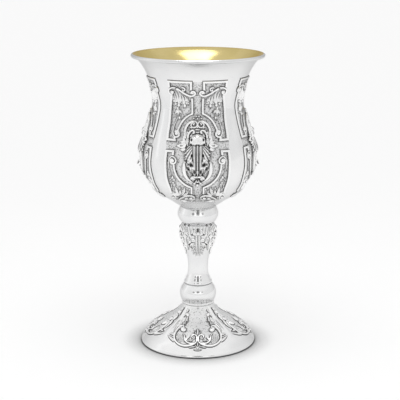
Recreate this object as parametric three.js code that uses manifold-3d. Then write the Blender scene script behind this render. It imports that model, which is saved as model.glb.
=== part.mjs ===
// A silver Elijah cup: a chased bowl with four applied cast mounts, an acanthus baluster between two
// knops, and a domed foot. Millimetres, +Z up, the cup standing on z = 0 with its axis on the origin.
// One of the four equal panels faces -Y.
import * as THREE from "three";
import { mergeGeometries, mergeVertices } from "three/addons/utils/BufferGeometryUtils.js";
import Module from "manifold-3d";

const wasm = await Module();
wasm.setup();

// Driving dimensions
const PANELS = 4;
const CUP_HEIGHT = 210;
const LIP_RADIUS = 47;
const LIP_WIRE = 0.8;
const WALL = 1.0;
const FOOT_REST_WIDTH = 1.6;
const FOOT_TOP = 28.3;
const LOWER_KNOP_TOP = 43.3;
const BALUSTER_TOP = 88.6;
const BOWL_BASE = 101.2;

// Turned profiles as radius and height, each drawn as one smooth curve through its stations
const BOWL_CURVE = [
  [12.7, BOWL_BASE],
  [21, 106.9],
  [29, 112],
  [34.8, 119.6],
  [38.2, 128],
  [39.4, 136.5],
  [38.3, 146],
  [35.9, 156.5],
  [33.0, 167],
  [31.5, 177],
  [33.1, 187],
  [36.8, 197],
  [41.4, 204.4],
  [LIP_RADIUS - 0.5, 208.7],
];
const UPPER_KNOP_CURVE = [
  [11.2, BALUSTER_TOP],
  [13.1, 91],
  [14.6, 94.8],
  [14.1, 98],
  [12.7, BOWL_BASE],
];
const BALUSTER_CURVE = [
  [10.3, LOWER_KNOP_TOP],
  [9.4, 46.6],
  [7.5, 50.8],
  [7.1, 56],
  [7.6, 61.8],
  [8.9, 67.2],
  [10.6, 72.4],
  [12.2, 77.4],
  [12.8, 81.6],
  [12.6, 85.4],
  [11.2, BALUSTER_TOP],
];
const LOWER_KNOP_CURVE = [
  [10.7, FOOT_TOP],
  [12.7, 32.6],
  [13.2, 35.8],
  [12.5, 39.6],
  [10.3, LOWER_KNOP_TOP],
];
const FOOT_CURVE = [
  [41.8, 0],
  [40.6, 3.1],
  [37, 7.6],
  [31.4, 12.4],
  [24.5, 16.3],
  [18, 20.1],
  [13, 25.1],
  [10.6, FOOT_TOP],
];

// How finely each turned piece is faceted: sides round the axis and rows along the curve
const BOWL_SIDES = 32;
const BOWL_ROWS = 13;
const KNOP_SIDES = 16;
const KNOP_ROWS = 4;
const BALUSTER_SIDES = 16;
const BALUSTER_ROWS = 9;
const FOOT_SIDES = 28;
const FOOT_ROWS = 6;

// Raised work: how wide a bar is, how high it stands and how far its root is sunk into the wall
const STRAP = { width: 1.4, rise: 1.0, sink: 0.6 };
const FOOT_STRAP = { width: 1.5, rise: 0.9, sink: 0.6 };
const LEAF = { width: 2.8, rise: 0.9, sink: 1.0 };
const BAND = { width: 1.9, rise: 0.8, sink: 0.5 };

// Colours
const SILVER = { color: 0xd9dadc, roughness: 0.22, metalness: 1.0 };
const CAST_SILVER = { color: 0xc4c5c8, roughness: 0.3, metalness: 1.0 };

// Solids

// The geometry's triangles with nothing but their positions.
function barePositions(geometry) {
  const bare = geometry.index ? geometry.toNonIndexed() : geometry.clone();
  for (const name of Object.keys(bare.attributes)) {
    if (name !== "position") bare.deleteAttribute(name);
  }
  return bare;
}

// A closed mesh with its shared corners merged, as a solid.
function toSolid(geometry) {
  const merged = mergeVertices(barePositions(geometry), 1e-3);
  const kept = [];
  for (let i = 0; i < merged.index.count; i += 3) {
    const [a, b, c] = [0, 1, 2].map((k) => merged.index.getX(i + k));
    if (a !== b && b !== c && c !== a) kept.push(a, b, c);
  }
  return new wasm.Manifold(
    new wasm.Mesh({
      numProp: 3,
      vertProperties: new Float32Array(merged.attributes.position.array),
      triVerts: new Uint32Array(kept),
    }),
  );
}

// A solid back as a three.js geometry.
function toGeometry(solid) {
  const mesh = solid.getMesh();
  const geometry = new THREE.BufferGeometry();
  geometry.setAttribute("position", new THREE.BufferAttribute(mesh.vertProperties, 3));
  geometry.setIndex(new THREE.BufferAttribute(mesh.triVerts, 1));
  geometry.computeVertexNormals();
  return geometry;
}

// All of the parts joined into the first one.
function joined(solid, parts) {
  return parts.reduce((whole, part) => whole.add(part), solid);
}

// A profile of radius and height turned round +Z.
function turnedFace(profile, sides) {
  const points = profile.map(([radius, height]) => new THREE.Vector2(radius, height));
  return new THREE.LatheGeometry(points, sides).rotateX(Math.PI / 2);
}

// The same as a solid; the profile starts and ends on the axis.
function turned(profile, sides) {
  return toSolid(turnedFace(profile, sides));
}

// Walls

// The outer face of a turned piece as a flat sheet: x runs round it, s runs up it and h stands off
// it, all in millimetres, and turn is the angle of x = 0 from the front.
class TurnedWall {
  constructor(stations) {
    this.curve = new THREE.SplineCurve(stations.map(([r, z]) => new THREE.Vector2(r, z)));
    this.length = this.curve.getLength();
  }

  // Points of the profile at equal steps, moved inwards by depth.
  profile(rows, depth = 0) {
    return Array.from({ length: rows + 1 }, (_, row) => {
      const at = this.curve.getPointAt(row / rows);
      const along = this.curve.getTangentAt(row / rows);
      return [at.x - along.y * depth, at.y + along.x * depth];
    });
  }

  radiusAt(s) {
    return this.curve.getPointAt(s / this.length).x;
  }

  place(x, s, h, turn) {
    const t = THREE.MathUtils.clamp(s / this.length, 0, 1);
    const at = this.curve.getPointAt(t);
    const along = this.curve.getTangentAt(t);
    const angle = turn + x / at.x;
    const radius = at.x + along.y * h;
    const height = at.y - along.x * h;
    return new THREE.Vector3(radius * Math.sin(angle), -radius * Math.cos(angle), height);
  }
}

// A geometry drawn on the flat sheet, wrapped onto a wall.
function wrapped(geometry, wall, turn) {
  const position = geometry.attributes.position;
  for (let i = 0; i < position.count; i += 1) {
    const point = wall.place(position.getX(i), position.getY(i), position.getZ(i), turn);
    position.setXYZ(i, point.x, point.y, point.z);
  }
  return toSolid(geometry);
}

// How a bar swells and tapers along its length, from 0 to 1.
const even = () => 1;
const leafy = (t) => 0.25 + 0.75 * Math.sin(Math.PI * t);
const pointed = (t) => 1 - 0.8 * t;

// The section of a plain bar: a ridge over two sunk corners, as [across, up] from -0.5 to 0.5 across.
const RIDGED = [[0, 1], [0.5, -1], [-0.5, -1]];

// The section of a fluted bar with three ridges.
const FLUTED = [
  [0, 1],
  [0.17, 0.35],
  [0.42, 0.9],
  [0.5, -1],
  [-0.5, -1],
  [-0.42, 0.9],
  [-0.17, 0.35],
];

// A bar through [x, s, h] points on the flat sheet, with one bend at each point. Its top stands rise
// above them, its root is sunk below, and shape(t) scales it along its length.
function bar(points, { width, rise, sink, outline = RIDGED }, shape = even) {
  const steps = points.length - 1;
  const corners = outline.length;
  const path = new THREE.CatmullRomCurve3(points.map(([x, s, h = 0]) => new THREE.Vector3(x, s, h)));
  const prism = new THREE.CylinderGeometry(1, 1, 1, corners, steps);
  const position = prism.attributes.position;
  for (let i = 0; i < position.count; i += 1) {
    const t = THREE.MathUtils.clamp(position.getY(i) + 0.5, 0, 1);
    const turn = Math.atan2(position.getX(i), position.getZ(i)) / (2 * Math.PI);
    const corner = outline[(Math.round(turn * corners) + corners) % corners];
    const onAxis = Math.hypot(position.getX(i), position.getZ(i)) < 0.5;
    const [across, up] = onAxis ? [0, 0] : corner;
    const along = path.getTangent(t);
    const side = new THREE.Vector3(along.y, -along.x, 0).normalize();
    const off = new THREE.Vector3().crossVectors(side, along);
    const point = path.getPoint(t).addScaledVector(side, across * width * shape(t));
    point.addScaledVector(off, up > 0 ? up * rise * shape(t) : up * sink);
    position.setXYZ(i, point.x, point.y, point.z);
  }
  return prism;
}

// A raised bud on the flat sheet, with its centre at [x, s, h] and its root sunk below it.
function bud([x, s, h = 0], [across, along, rise, sink]) {
  const geometry = new THREE.OctahedronGeometry(1, 0);
  const position = geometry.attributes.position;
  for (let i = 0; i < position.count; i += 1) {
    const up = position.getZ(i);
    position.setZ(i, up > 0 ? up * rise : up * sink);
  }
  return geometry.scale(across, along, 1).translate(x, s, h);
}

// The same flat points on the right (1) or the left (-1) of a panel's middle.
function onSide(points, side) {
  return points.map(([x, s, h = 0]) => [side * x, s, h]);
}

// Every raised element of a panel, wrapped onto a wall at one quarter of the turn. Each element is
// { points, section, shape } or { at, size }; all but the middle ones are made on both sides.
function raisedWork(wall, turn, pairs, middles = []) {
  const mirrored = [1, -1].flatMap((side) =>
    pairs.map((element) =>
      element.at
        ? { ...element, at: onSide([element.at], side)[0] }
        : { ...element, points: onSide(element.points, side) },
    ),
  );
  return [...mirrored, ...middles].map((element) => {
    const geometry = element.at
      ? bud(element.at, element.size)
      : bar(element.points, element.section, element.shape);
    return wrapped(geometry, wall, turn);
  });
}

function quarterTurns() {
  return Array.from({ length: PANELS }, (_, panel) => (panel * 2 * Math.PI) / PANELS);
}

// Bowl. The flat positions of a panel: x from its middle, s up from the bowl's base. The chased
// sheet runs from below the frames to above them, and plain turned wall closes it at both ends.
const PANEL_TOP = 106.7;
const PANEL_BOTTOM = 15.4;
const ARM_TOP = 65.3;
const ARM_BOTTOM = 57.5;
const SHEET_BOTTOM = 14;
const SHEET_TOP = 108;
const SHEET_ROWS = 8;
const HALF_STRAP = STRAP.width / 2;
const INNER_FRAME = [
  [[3.9, PANEL_BOTTOM], [3.9, 24], [4.4, 32], [10.2, 36.6], [14.6, 43.4], [16.2, 50], [16.8, ARM_BOTTOM]],
  [[15.4, ARM_TOP], [13.4, 70.5], [11.6, 76], [8, 81], [3.7, 85.2], [3.4, 92], [3.6, 99], [3.8, PANEL_TOP]],
];
const OUTER_FRAME = [
  [[16.3, PANEL_BOTTOM], [19.3, 24], [20.4, 32], [22.2, 40], [23, 49], [22.2, ARM_BOTTOM]],
  [[21.2, ARM_TOP], [20, 73], [18.9, 81], [18.4, 90], [19.4, 98], [21.2, PANEL_TOP]],
];
const BOWL_SCROLLS = [
  // scroll that falls from the corner volute to the channel
  { points: [[16.6, 96.6], [17.4, 100.2], [10.6, 99.2], [4.2, 96]], section: STRAP },
  // shoulder volute
  { at: [18.6, 50], size: [2.4, 3.4, 1.4, 0.5] },
];

// The x of a frame's ridge at a height s, straight between its points.
function ridgeAt(frame, s) {
  const points = frame.flat();
  const next = points.findIndex((point) => point[1] >= s);
  if (next <= 0) return points[next === 0 ? 0 : points.length - 1][0];
  const [x0, s0] = points[next - 1];
  const [x1, s1] = points[next];
  return x0 + ((x1 - x0) * (s - s0)) / (s1 - s0);
}

// One strap of a frame as three lines of [x, s, h]: its foot away from the field, its ridge, and its
// foot towards the field, where the bars across its ends run into it. inward is +1 or -1 in x.
function strapLines(points, inward) {
  const path = new THREE.SplineCurve(points.map(([x, s]) => new THREE.Vector2(x, s)));
  const last = points.length - 1;
  const away = [];
  const ridge = [];
  const towards = [];
  points.forEach(([x, s], i) => {
    const along = path.getTangent(i / last);
    const across = [along.y * HALF_STRAP * inward, -along.x * HALF_STRAP * inward];
    const end = i === 0 ? -1 : 1;
    if (i === 0 || i === last) {
      away.push([x - inward * HALF_STRAP, s + end * HALF_STRAP, 0]);
      const corner = [
        [0, end * HALF_STRAP, 0],
        [0, 0, STRAP.rise],
        [0, -end * HALF_STRAP, 0],
      ];
      if (end > 0) corner.reverse();
      const beside = x + inward * HALF_STRAP;
      towards.push(...corner.map(([, up, h]) => [beside, s + up, h]));
      const tip = [[x, s + end * HALF_STRAP, 0], [x, s, STRAP.rise]];
      ridge.push(...(end > 0 ? tip.reverse() : tip));
      return;
    }
    away.push([x - across[0], s - across[1], 0]);
    ridge.push([x, s, STRAP.rise]);
    towards.push([x + across[0], s + across[1], 0]);
  });
  return [away, ridge, towards];
}

// The lines of a whole frame up the sheet, lower field first.
function frameLines(frame, inward) {
  const fields = frame.map((points) => strapLines(points, inward));
  return [0, 1, 2].map((line) => {
    const low = fields[0][line];
    const high = fields[1][line];
    const start = [low[0][0], SHEET_BOTTOM, 0];
    const end = [high[high.length - 1][0], SHEET_TOP, 0];
    return [start, ...low, ...high, end];
  });
}

// Every line of half a panel from its middle to the middle of the smooth band beside it.
function sheetLines(wall) {
  const rows = Array.from(
    { length: SHEET_ROWS + 1 },
    (_, row) => SHEET_BOTTOM + ((SHEET_TOP - SHEET_BOTTOM) * row) / SHEET_ROWS,
  );
  const middle = rows.map((s) => [0, s, 0]);
  const inside = rows.map((s) => [ridgeAt(INNER_FRAME, s) / 2, s, 0]);
  const bars = [PANEL_BOTTOM, ARM_BOTTOM, ARM_TOP, PANEL_TOP];
  const barRows = bars.flatMap((s) => [
    [s - HALF_STRAP, 0],
    [s, STRAP.rise],
    [s + HALF_STRAP, 0],
  ]);
  const plainRows = rows
    .filter((s) => bars.every((at) => Math.abs(at - s) > 3 * HALF_STRAP))
    .map((s) => [s, 0]);
  const fieldRows = [...barRows, ...plainRows, [SHEET_BOTTOM, 0], [SHEET_TOP, 0]];
  const field = fieldRows
    .sort((a, b) => a[0] - b[0])
    .map(([s, h]) => [(ridgeAt(INNER_FRAME, s) + ridgeAt(OUTER_FRAME, s)) / 2, s, h]);
  const band = rows.map((s) => [(wall.radiusAt(s) * Math.PI) / PANELS, s, 0]);
  const outerFrame = frameLines(OUTER_FRAME, -1).reverse();
  return [middle, inside, ...frameLines(INNER_FRAME, 1), field, ...outerFrame, band];
}

// Triangles between two lines of vertices { key, at }, taken in the order of their keys. The line on
// the left is the one on the left hand when facing along the keys.
function stitched(left, right, triangles) {
  let i = 0;
  let j = 0;
  while (i < left.length - 1 || j < right.length - 1) {
    const leftDone = i === left.length - 1;
    const rightDone = j === right.length - 1;
    const takeLeft = rightDone || (!leftDone && left[i + 1].key <= right[j + 1].key);
    const next = takeLeft ? left[i + 1] : right[j + 1];
    triangles.push([left[i].at, right[j].at, next.at]);
    if (takeLeft) i += 1;
    else j += 1;
  }
}

// Half of a panel's chased sheet with the strips that tie it to the plain rings below and above.
function chasedHalf(wall, turn, side, rings) {
  const lines = sheetLines(wall).map((line) =>
    line.map(([x, s, h]) => ({ key: s, at: wall.place(side * x, s, h, turn), x, s })),
  );
  const triangles = [];
  for (let i = 0; i < lines.length - 1; i += 1) stitched(lines[i], lines[i + 1], triangles);
  const angle = Math.PI / PANELS;
  const steps = BOWL_SIDES / PANELS / 2;
  const plainRing = (s) =>
    Array.from({ length: steps + 1 }, (_, k) => {
      const x = (angle * k * wall.radiusAt(s)) / steps;
      return { key: (angle * k) / steps, at: wall.place(side * x, s, 0, turn) };
    });
  const sheetRing = (pick) =>
    lines.map((line) => {
      const vertex = pick(line);
      return { key: vertex.x / wall.radiusAt(vertex.s), at: vertex.at };
    });
  stitched(sheetRing((line) => line[0]), plainRing(rings.below), triangles);
  stitched(plainRing(rings.above), sheetRing((line) => line[line.length - 1]), triangles);
  const corners = triangles.flatMap(([a, b, c]) => (side > 0 ? [a, b, c] : [a, c, b]));
  return new THREE.BufferGeometry().setFromPoints(corners);
}

function bowlSolid(wall) {
  const stationOf = (k) => (wall.length * k) / BOWL_ROWS;
  const rings = { below: stationOf(1), above: stationOf(BOWL_ROWS - 1) };
  const outer = wall.profile(BOWL_ROWS);
  const inner = wall.profile(BOWL_ROWS, WALL).reverse();
  const lip = [-20, 35, 90].map((degrees) => {
    const angle = THREE.MathUtils.degToRad(degrees);
    return [
      LIP_RADIUS - LIP_WIRE + LIP_WIRE * Math.cos(angle),
      CUP_HEIGHT - LIP_WIRE + LIP_WIRE * Math.sin(angle),
    ];
  });
  const floor = BOWL_BASE + WALL;
  const floorRadius = BOWL_CURVE[0][0] - WALL;
  const inside = inner.filter(([, height]) => height > floor + 1);
  const underside = [[0, BOWL_BASE], ...outer.slice(0, 2)];
  const lipAndInside = [...outer.slice(-2), ...lip, ...inside, [floorRadius, floor], [0, floor]];
  const faces = [
    turnedFace(underside, BOWL_SIDES),
    turnedFace(lipAndInside, BOWL_SIDES),
    ...quarterTurns().flatMap((turn) => [
      chasedHalf(wall, turn, 1, rings),
      chasedHalf(wall, turn, -1, rings),
    ]),
  ].map(barePositions);
  const work = quarterTurns().flatMap((turn) => raisedWork(wall, turn, BOWL_SCROLLS));
  return joined(toSolid(mergeGeometries(faces)), work);
}

// Mounts. Each is an openwork casting on the panel's medallion, its [x, s, h] points on the bowl's
// flat sheet: it lies close at its top and foot and stands out like a flared torch in the middle.
const MOUNT_PAIRS = [
  // band that springs from the top volute and frames the upper half
  {
    points: [
      [2.8, 76, 1.3],
      [0.9, 76.6, 1.3],
      [3.4, 79, 1.3],
      [8, 74.6, 1.9],
      [8.2, 69, 2.4],
      [3.8, 65.8, 2.6],
    ],
    section: BAND,
  },
  // ear with its raised tip
  {
    points: [[2.4, 62.8, 2.4], [14, 61.4, 1.9]],
    section: { width: 4.4, rise: 0.9, sink: 0.7 },
    shape: pointed,
  },
  {
    points: [[8, 61.6, 2.3], [9.9, 67.9, 1.9]],
    section: { width: 3, rise: 0.8, sink: 0.6 },
    shape: pointed,
  },
  // band that frames the lower half and ends in the foot volute
  {
    points: [
      [6, 53.4, 2.6],
      [9.2, 47.4, 1.8],
      [7.4, 41, 1.4],
      [1, 38.4, 1.2],
    ],
    section: { ...BAND, width: 2.4 },
  },
];
const MOUNT_MIDDLES = [
  // fluted torch, flaring to its lip
  {
    points: [[0, 64, 1.9], [0, 58, 2.6], [0, 52, 3.4], [0, 50.4, 2.2]],
    section: { width: 12, rise: 0.9, sink: 0.9, outline: FLUTED },
    shape: (t) => 0.55 + 0.45 * Math.sin((Math.PI / 2) * Math.min(1, 1.5 * t)),
  },
  { at: [0, 66.6, 2.3], size: [6.2, 3.6, 1.7, 1.6] },
  // stalk under it
  {
    points: [[0, 51, 2.1], [0, 43, 1.5], [0, 34.4, 1.2]],
    section: { width: 6, rise: 1.1, sink: 0.7 },
    shape: pointed,
  },
  // leaf tip that curls out from the stalk
  {
    points: [[0, 45, 1.9], [0, 42.6, 5.0]],
    section: { width: 2.4, rise: 0.8, sink: 0.4 },
    shape: pointed,
  },
  // finial
  {
    points: [[0, 76, 1.3], [0, 83.6, 1.1]],
    section: { width: 2.8, rise: 0.8, sink: 0.5 },
    shape: pointed,
  },
];

function mountSolid(wall, turn) {
  const [first, ...rest] = raisedWork(wall, turn, MOUNT_PAIRS, MOUNT_MIDDLES);
  return joined(first, rest);
}

// Turned pieces between the bowl and the foot
function turnedPiece(wall, rows, sides) {
  const profile = wall.profile(rows);
  const [, bottom] = profile[0];
  const [, top] = profile[rows];
  return turned([[0, bottom], ...profile, [0, top]], sides);
}

// Baluster. One acanthus cluster in each quarter: a stem, two curls and the leaves beside them.
const BALUSTER_PAIRS = [
  { at: [3.4, 36.4], size: [2.2, 2.4, 1.3, 1] },
  {
    points: [[5.4, 42], [7.6, 35], [3.4, 25.4]],
    section: LEAF,
    shape: leafy,
  },
];
const BALUSTER_MIDDLES = [
  {
    points: [[0, 40], [0, 23.4]],
    section: { width: 3.2, rise: 1.2, sink: 0.9 },
    shape: pointed,
  },
];

function balusterSolid() {
  const wall = new TurnedWall(BALUSTER_CURVE);
  const work = quarterTurns().flatMap((turn) =>
    raisedWork(wall, turn, BALUSTER_PAIRS, BALUSTER_MIDDLES),
  );
  return joined(turnedPiece(wall, BALUSTER_ROWS, BALUSTER_SIDES), work);
}

// Foot. A hollow dome with a scalloped frame and a pair of volutes in each quarter, and a rib
// between the quarters.
const RIB_STATIONS = [12, 21, 30, 40];
const FOOT_PAIRS = [
  { points: [[25.8, 14.6], [18, 11.2], [9, 9.4], [0, 8.8]], section: FOOT_STRAP },
  { at: [13.8, 18.6], size: [3.4, 3.4, 1.2, 0.5] },
];

function footSolid() {
  const wall = new TurnedWall(FOOT_CURVE);
  const outer = wall.profile(FOOT_ROWS);
  const ceiling = FOOT_TOP - WALL;
  const inner = wall
    .profile(FOOT_ROWS, WALL)
    .reverse()
    .filter(([, height]) => height > 0.6 && height < ceiling - 0.6);
  const profile = [
    [0, ceiling],
    ...inner,
    [FOOT_CURVE[0][0] - FOOT_REST_WIDTH, 0],
    ...outer,
    [0, FOOT_TOP],
  ];
  const ribTurn = Math.PI / PANELS;
  const rib = {
    points: RIB_STATIONS.map((s) => [0, s]),
    section: { width: 5, rise: 1.4, sink: 0.6 },
    shape: pointed,
  };
  const work = quarterTurns().flatMap((turn) => [
    ...raisedWork(wall, turn, FOOT_PAIRS),
    ...raisedWork(wall, turn + ribTurn, [], [rib]),
  ]);
  return joined(turned(profile, FOOT_SIDES), work);
}

// The cup
const bowlWall = new TurnedWall(BOWL_CURVE);
const cup = new THREE.Group();

function addPiece(name, solid, finish) {
  const mesh = new THREE.Mesh(toGeometry(solid), new THREE.MeshStandardMaterial(finish));
  mesh.name = name;
  cup.add(mesh);
}

addPiece("foot", footSolid(), SILVER);
addPiece("lower_knop", turnedPiece(new TurnedWall(LOWER_KNOP_CURVE), KNOP_ROWS, KNOP_SIDES), SILVER);
addPiece("baluster", balusterSolid(), SILVER);
addPiece("upper_knop", turnedPiece(new TurnedWall(UPPER_KNOP_CURVE), KNOP_ROWS, KNOP_SIDES), SILVER);
addPiece("bowl", bowlSolid(bowlWall), SILVER);
const MOUNT_NAMES = ["mount_front", "mount_right", "mount_back", "mount_left"];
quarterTurns().forEach((turn, panel) => {
  addPiece(MOUNT_NAMES[panel], mountSolid(bowlWall, turn), CAST_SILVER);
});

export default cup;
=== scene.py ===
"""Looks of a silver goblet: a chased, gilt-lined bowl with cast mounts, a leafy stem, a domed foot.

Sizes are in millimetres until a mesh is made. A panel is drawn flat: x to the right along the
wall, s up along it, h off it. The front panel faces -Y and comes again at each quarter turn.
"""
import logging
import math
from dataclasses import dataclass, field
from enum import Enum
from typing import Callable, Optional, Sequence, Union

import bpy
import numpy as np
from mathutils.kdtree import KDTree
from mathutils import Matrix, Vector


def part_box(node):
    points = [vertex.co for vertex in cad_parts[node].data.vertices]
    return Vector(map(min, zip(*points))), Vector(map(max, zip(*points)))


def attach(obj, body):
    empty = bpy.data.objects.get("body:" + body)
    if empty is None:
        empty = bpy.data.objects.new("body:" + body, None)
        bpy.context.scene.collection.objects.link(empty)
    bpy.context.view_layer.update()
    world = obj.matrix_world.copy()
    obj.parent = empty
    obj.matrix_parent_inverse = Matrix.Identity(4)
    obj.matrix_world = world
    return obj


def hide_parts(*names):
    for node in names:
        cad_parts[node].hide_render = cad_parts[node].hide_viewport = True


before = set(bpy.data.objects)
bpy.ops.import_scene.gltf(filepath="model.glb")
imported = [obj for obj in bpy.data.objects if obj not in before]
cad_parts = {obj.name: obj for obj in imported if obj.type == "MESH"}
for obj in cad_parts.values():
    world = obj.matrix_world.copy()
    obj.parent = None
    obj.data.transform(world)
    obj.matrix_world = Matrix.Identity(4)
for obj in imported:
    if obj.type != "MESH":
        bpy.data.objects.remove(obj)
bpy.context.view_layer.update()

LOG = logging.getLogger("goblet")
MM = 0.001
QUARTERS = tuple(math.radians(90 * k) for k in range(4))
Array = np.ndarray
Piece = bpy.types.Object
Material = bpy.types.Material
Socket = bpy.types.NodeSocket
Point = tuple[float, float]
Colour = tuple[float, float, float]
Rows = tuple[tuple[float, ...], ...]
Lift = Union[float, Callable[[Array, Array], Array]]
STATION_STEPS = 60
POINT_STEPS = 16
SPACING = 0.55
SPIRAL_STEPS = 9
BUTTON_SIDES = 12


# Lines and walls

def through(points: Sequence[Point], count: int) -> Array:
    """Walks the smooth curve through some points.

    Args:
        points: the points, in order.
        count: how many places to return.

    Returns:
        An array of places, evenly spaced between each two points.
    """
    p = np.asarray(points, float)
    t = np.linspace(0, len(p) - 1, count)
    i = np.minimum(t.astype(int), len(p) - 2)
    w = (t - i)[:, None]
    before, a, b, after = p[np.maximum(i - 1, 0)], p[i], p[i + 1], p[np.minimum(i + 2, len(p) - 1)]
    out, into = (b - before) / 2, (after - a) / 2
    return (2 * a - 2 * b + out + into) * w**3 + (-3 * a + 3 * b - 2 * out - into) * w**2 + out * w + a


def lengths(p: Array) -> Array:
    """Returns how far along its line each place is."""
    return np.concatenate([[0], np.cumsum(np.linalg.norm(np.diff(p, axis=0), axis=1))])


class TurnedWall:
    """The outside of a turned part, where a flat drawing is laid on it."""

    def __init__(self, stations: Sequence[Point]) -> None:
        """Takes the wall's stations, radius and height, from its lower end up."""
        self.profile = through(stations, STATION_STEPS * (len(stations) - 1) + 1)
        self.s = lengths(self.profile)
        along = np.gradient(self.profile, self.s, axis=0)
        along /= np.linalg.norm(along, axis=1)[:, None]
        self.normal = np.stack([along[:, 1], -along[:, 0]], axis=1)

    def radius(self, s: Array) -> Array:
        """Returns the wall's radius at each station s."""
        return np.interp(s, self.s, self.profile[:, 0])

    def station(self, height: float) -> float:
        """Returns the station at a height above the table."""
        return float(np.interp(height, self.profile[:, 1], self.s))

    def read(self, s: Array) -> tuple[Array, Array]:
        """Returns the wall's places and its outward directions at some stations."""
        places, out = (np.stack([np.interp(s, self.s, rows[:, k]) for k in (0, 1)], axis=1)
                       for rows in (self.profile, self.normal))
        return places, out

    def sampled(self, count: int) -> tuple[Array, Array, Array]:
        """Returns evenly spaced stations, with the places and outward directions there."""
        s = np.linspace(0, self.s[-1], count)
        return (s, *self.read(s))

    def place(self, flat: Array, turn: float) -> Array:
        """Lays a flat drawing on the wall.

        Args:
            flat: rows of x, s and h in millimetres.
            turn: the panel's angle round the axis from the front, in radians.

        Returns:
            Rows of X, Y and Z in metres.
        """
        x, s, h = flat.T
        (r, z), (out, up) = (rows.T for rows in self.read(s))
        angle = turn + x / r
        reach = r + h * out
        return np.stack([reach * np.sin(angle), -reach * np.cos(angle), z + h * up], axis=1) * MM


class Taper(Enum):
    """How a raised line's width runs from one end to the other."""

    ROUND = "round ends"
    TIP = "pointed last end"
    TIPS = "pointed at both ends"
    LEAF = "widest past the middle"
    DROP = "widest near its last end"


def width_share(taper: Taper, share: Array, length: float, width: float) -> Array:
    """Returns the share of the full width at each place along a line."""
    near = np.minimum(share, 1 - share) * length / (width / 2)
    blunt = np.sqrt(np.clip(1 - (1 - np.clip(near, 0, 1)) ** 2, 0.02, 1))
    if taper is Taper.ROUND:
        return blunt
    if taper is Taper.TIP:
        return np.minimum(blunt, np.clip((1 - share) * 1.9, 0.1, 1) ** 0.8)
    if taper is Taper.TIPS:
        return np.clip(np.sin(math.pi * share), 0.08, 1) ** 0.7
    if taper is Taper.DROP:
        return np.minimum(blunt, np.clip(0.18 + share**1.5, 0, 1))
    return np.clip(np.sin(math.pi * share**0.75), 0.1, 1) ** 0.8


class Path:
    """A line on a panel: smooth runs that meet at sharp corners."""

    def __init__(self, runs: Sequence[Sequence[Point]]) -> None:
        """Takes the runs."""
        rows: list[Array] = []
        for run in runs:
            dense = through(run, POINT_STEPS * (len(run) - 1) + 1)
            along = lengths(dense)
            count = max(3, math.ceil(along[-1] / SPACING) + 1)
            even = np.linspace(0, along[-1], count)
            places = np.stack([np.interp(even, along, dense[:, k]) for k in (0, 1)], axis=1)
            rows.append(places if not rows else places[1:])
        self.xy = np.concatenate(rows)
        step = np.diff(self.xy, axis=0)
        step /= np.linalg.norm(step, axis=1)[:, None]
        side = np.stack([step[:, 1], -step[:, 0]], axis=1)
        before, after = np.vstack([side[:1], side]), np.vstack([side, side[-1:]])
        across = before + after
        across /= np.linalg.norm(across, axis=1)[:, None]
        self.across = across / np.clip((across * before).sum(1), 0.6, 1)[:, None]
        far = lengths(self.xy)
        self.length = float(far[-1])
        self.share = far / far[-1]


def curled(run: Sequence[Point], centre: Point, turns: float, tight: float = 0.3) -> list[Point]:
    """Carries a line on into a spiral.

    Args:
        run: the line's points up to the spiral.
        centre: the spiral's centre.
        turns: how far it goes round, above 0 to the left.
        tight: the share of its radius that it ends at.

    Returns:
        The line's points and the spiral's.
    """
    x, s = run[-1][0] - centre[0], run[-1][1] - centre[1]
    radius, angle = math.hypot(x, s), math.atan2(s, x)
    steps = max(4, round(abs(turns) * SPIRAL_STEPS))
    points = list(run)
    for k in range(1, steps + 1):
        share = k / steps
        r = radius * (1 - share * (1 - tight))
        a = angle + 2 * math.pi * turns * share
        points.append((centre[0] + r * math.cos(a), centre[1] + r * math.sin(a)))
    return points


# Raised work

@dataclass(frozen=True)
class Section:
    """Half the outline across a raised line, from its foot to its middle.

    Each row holds the share of the half width, millimetres beyond it, the share of the rise,
    millimetres above the ground, and how dark the silver is there.
    """

    half: tuple[tuple[float, float, float, float, float], ...]

    def whole(self) -> Array:
        """Returns the outline from the left foot over to the right one."""
        right = np.array(self.half)
        left = right * [-1, -1, 1, 1, 1]
        middle = right[-1:, 0] == 0
        return np.vstack([left[: len(left) - int(middle[0])], right[::-1]])


GUTTER = ((1, 0.3, 0, -0.16, 1), (1, 0.22, 0, 0.08, 0.95), (1, 0, 0.1, 0.05, 0.9))
LOW_GUTTER = ((1, 0.18, 0, -0.16, 1), (1, 0.12, 0, 0.06, 0.9), (1, 0, 0.12, 0.05, 0.6))
WIDE_GUTTER = ((1, 0.6, 0, -0.16, 1), (1, 0.48, 0, 0.07, 1), (1, 0, 0.1, 0.05, 0.95))
SIDE = ((1, 0, 0, -0.8, 0.8), (1, 0.04, 0.1, 0, 0.7))
LIGHT_SIDE = ((1, 0, 0, -0.8, 0.35), (1, 0.04, 0.1, 0, 0.55))
STRAP_TOP = ((0.95, 0, 0.62, 0, 0.22), (0.78, 0, 0.92, 0, 0), (0.3, 0, 1, 0, 0))
BAND_TOP = ((0.86, 0, 0.6, 0, 0.12), (0.6, 0, 0.9, 0, 0), (0.22, 0, 1, 0, 0))
LEAF_TOP = (
    (0.82, 0, 0.72, 0, 0.02), (0.5, 0, 1, 0, 0), (0.14, 0, 0.86, 0, 0.06), (0, 0, 0.68, 0, 0.36))
PEARL_TOP = (
    (0.92, 0, 0.45, 0, 0.12), (0.7, 0, 0.78, 0, 0), (0.38, 0, 0.96, 0, 0), (0, 0, 1, 0, 0))
EYE_TOP = (
    (0.9, 0, 0.75, 0, 0.1), (0.72, 0, 1, 0, 0), (0.5, 0, 0.72, 0, 0.3), (0.36, 0, 0.35, 0, 1),
    (0.2, 0, 0.65, 0, 0.3), (0, 0, 0.8, 0, 0))
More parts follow.
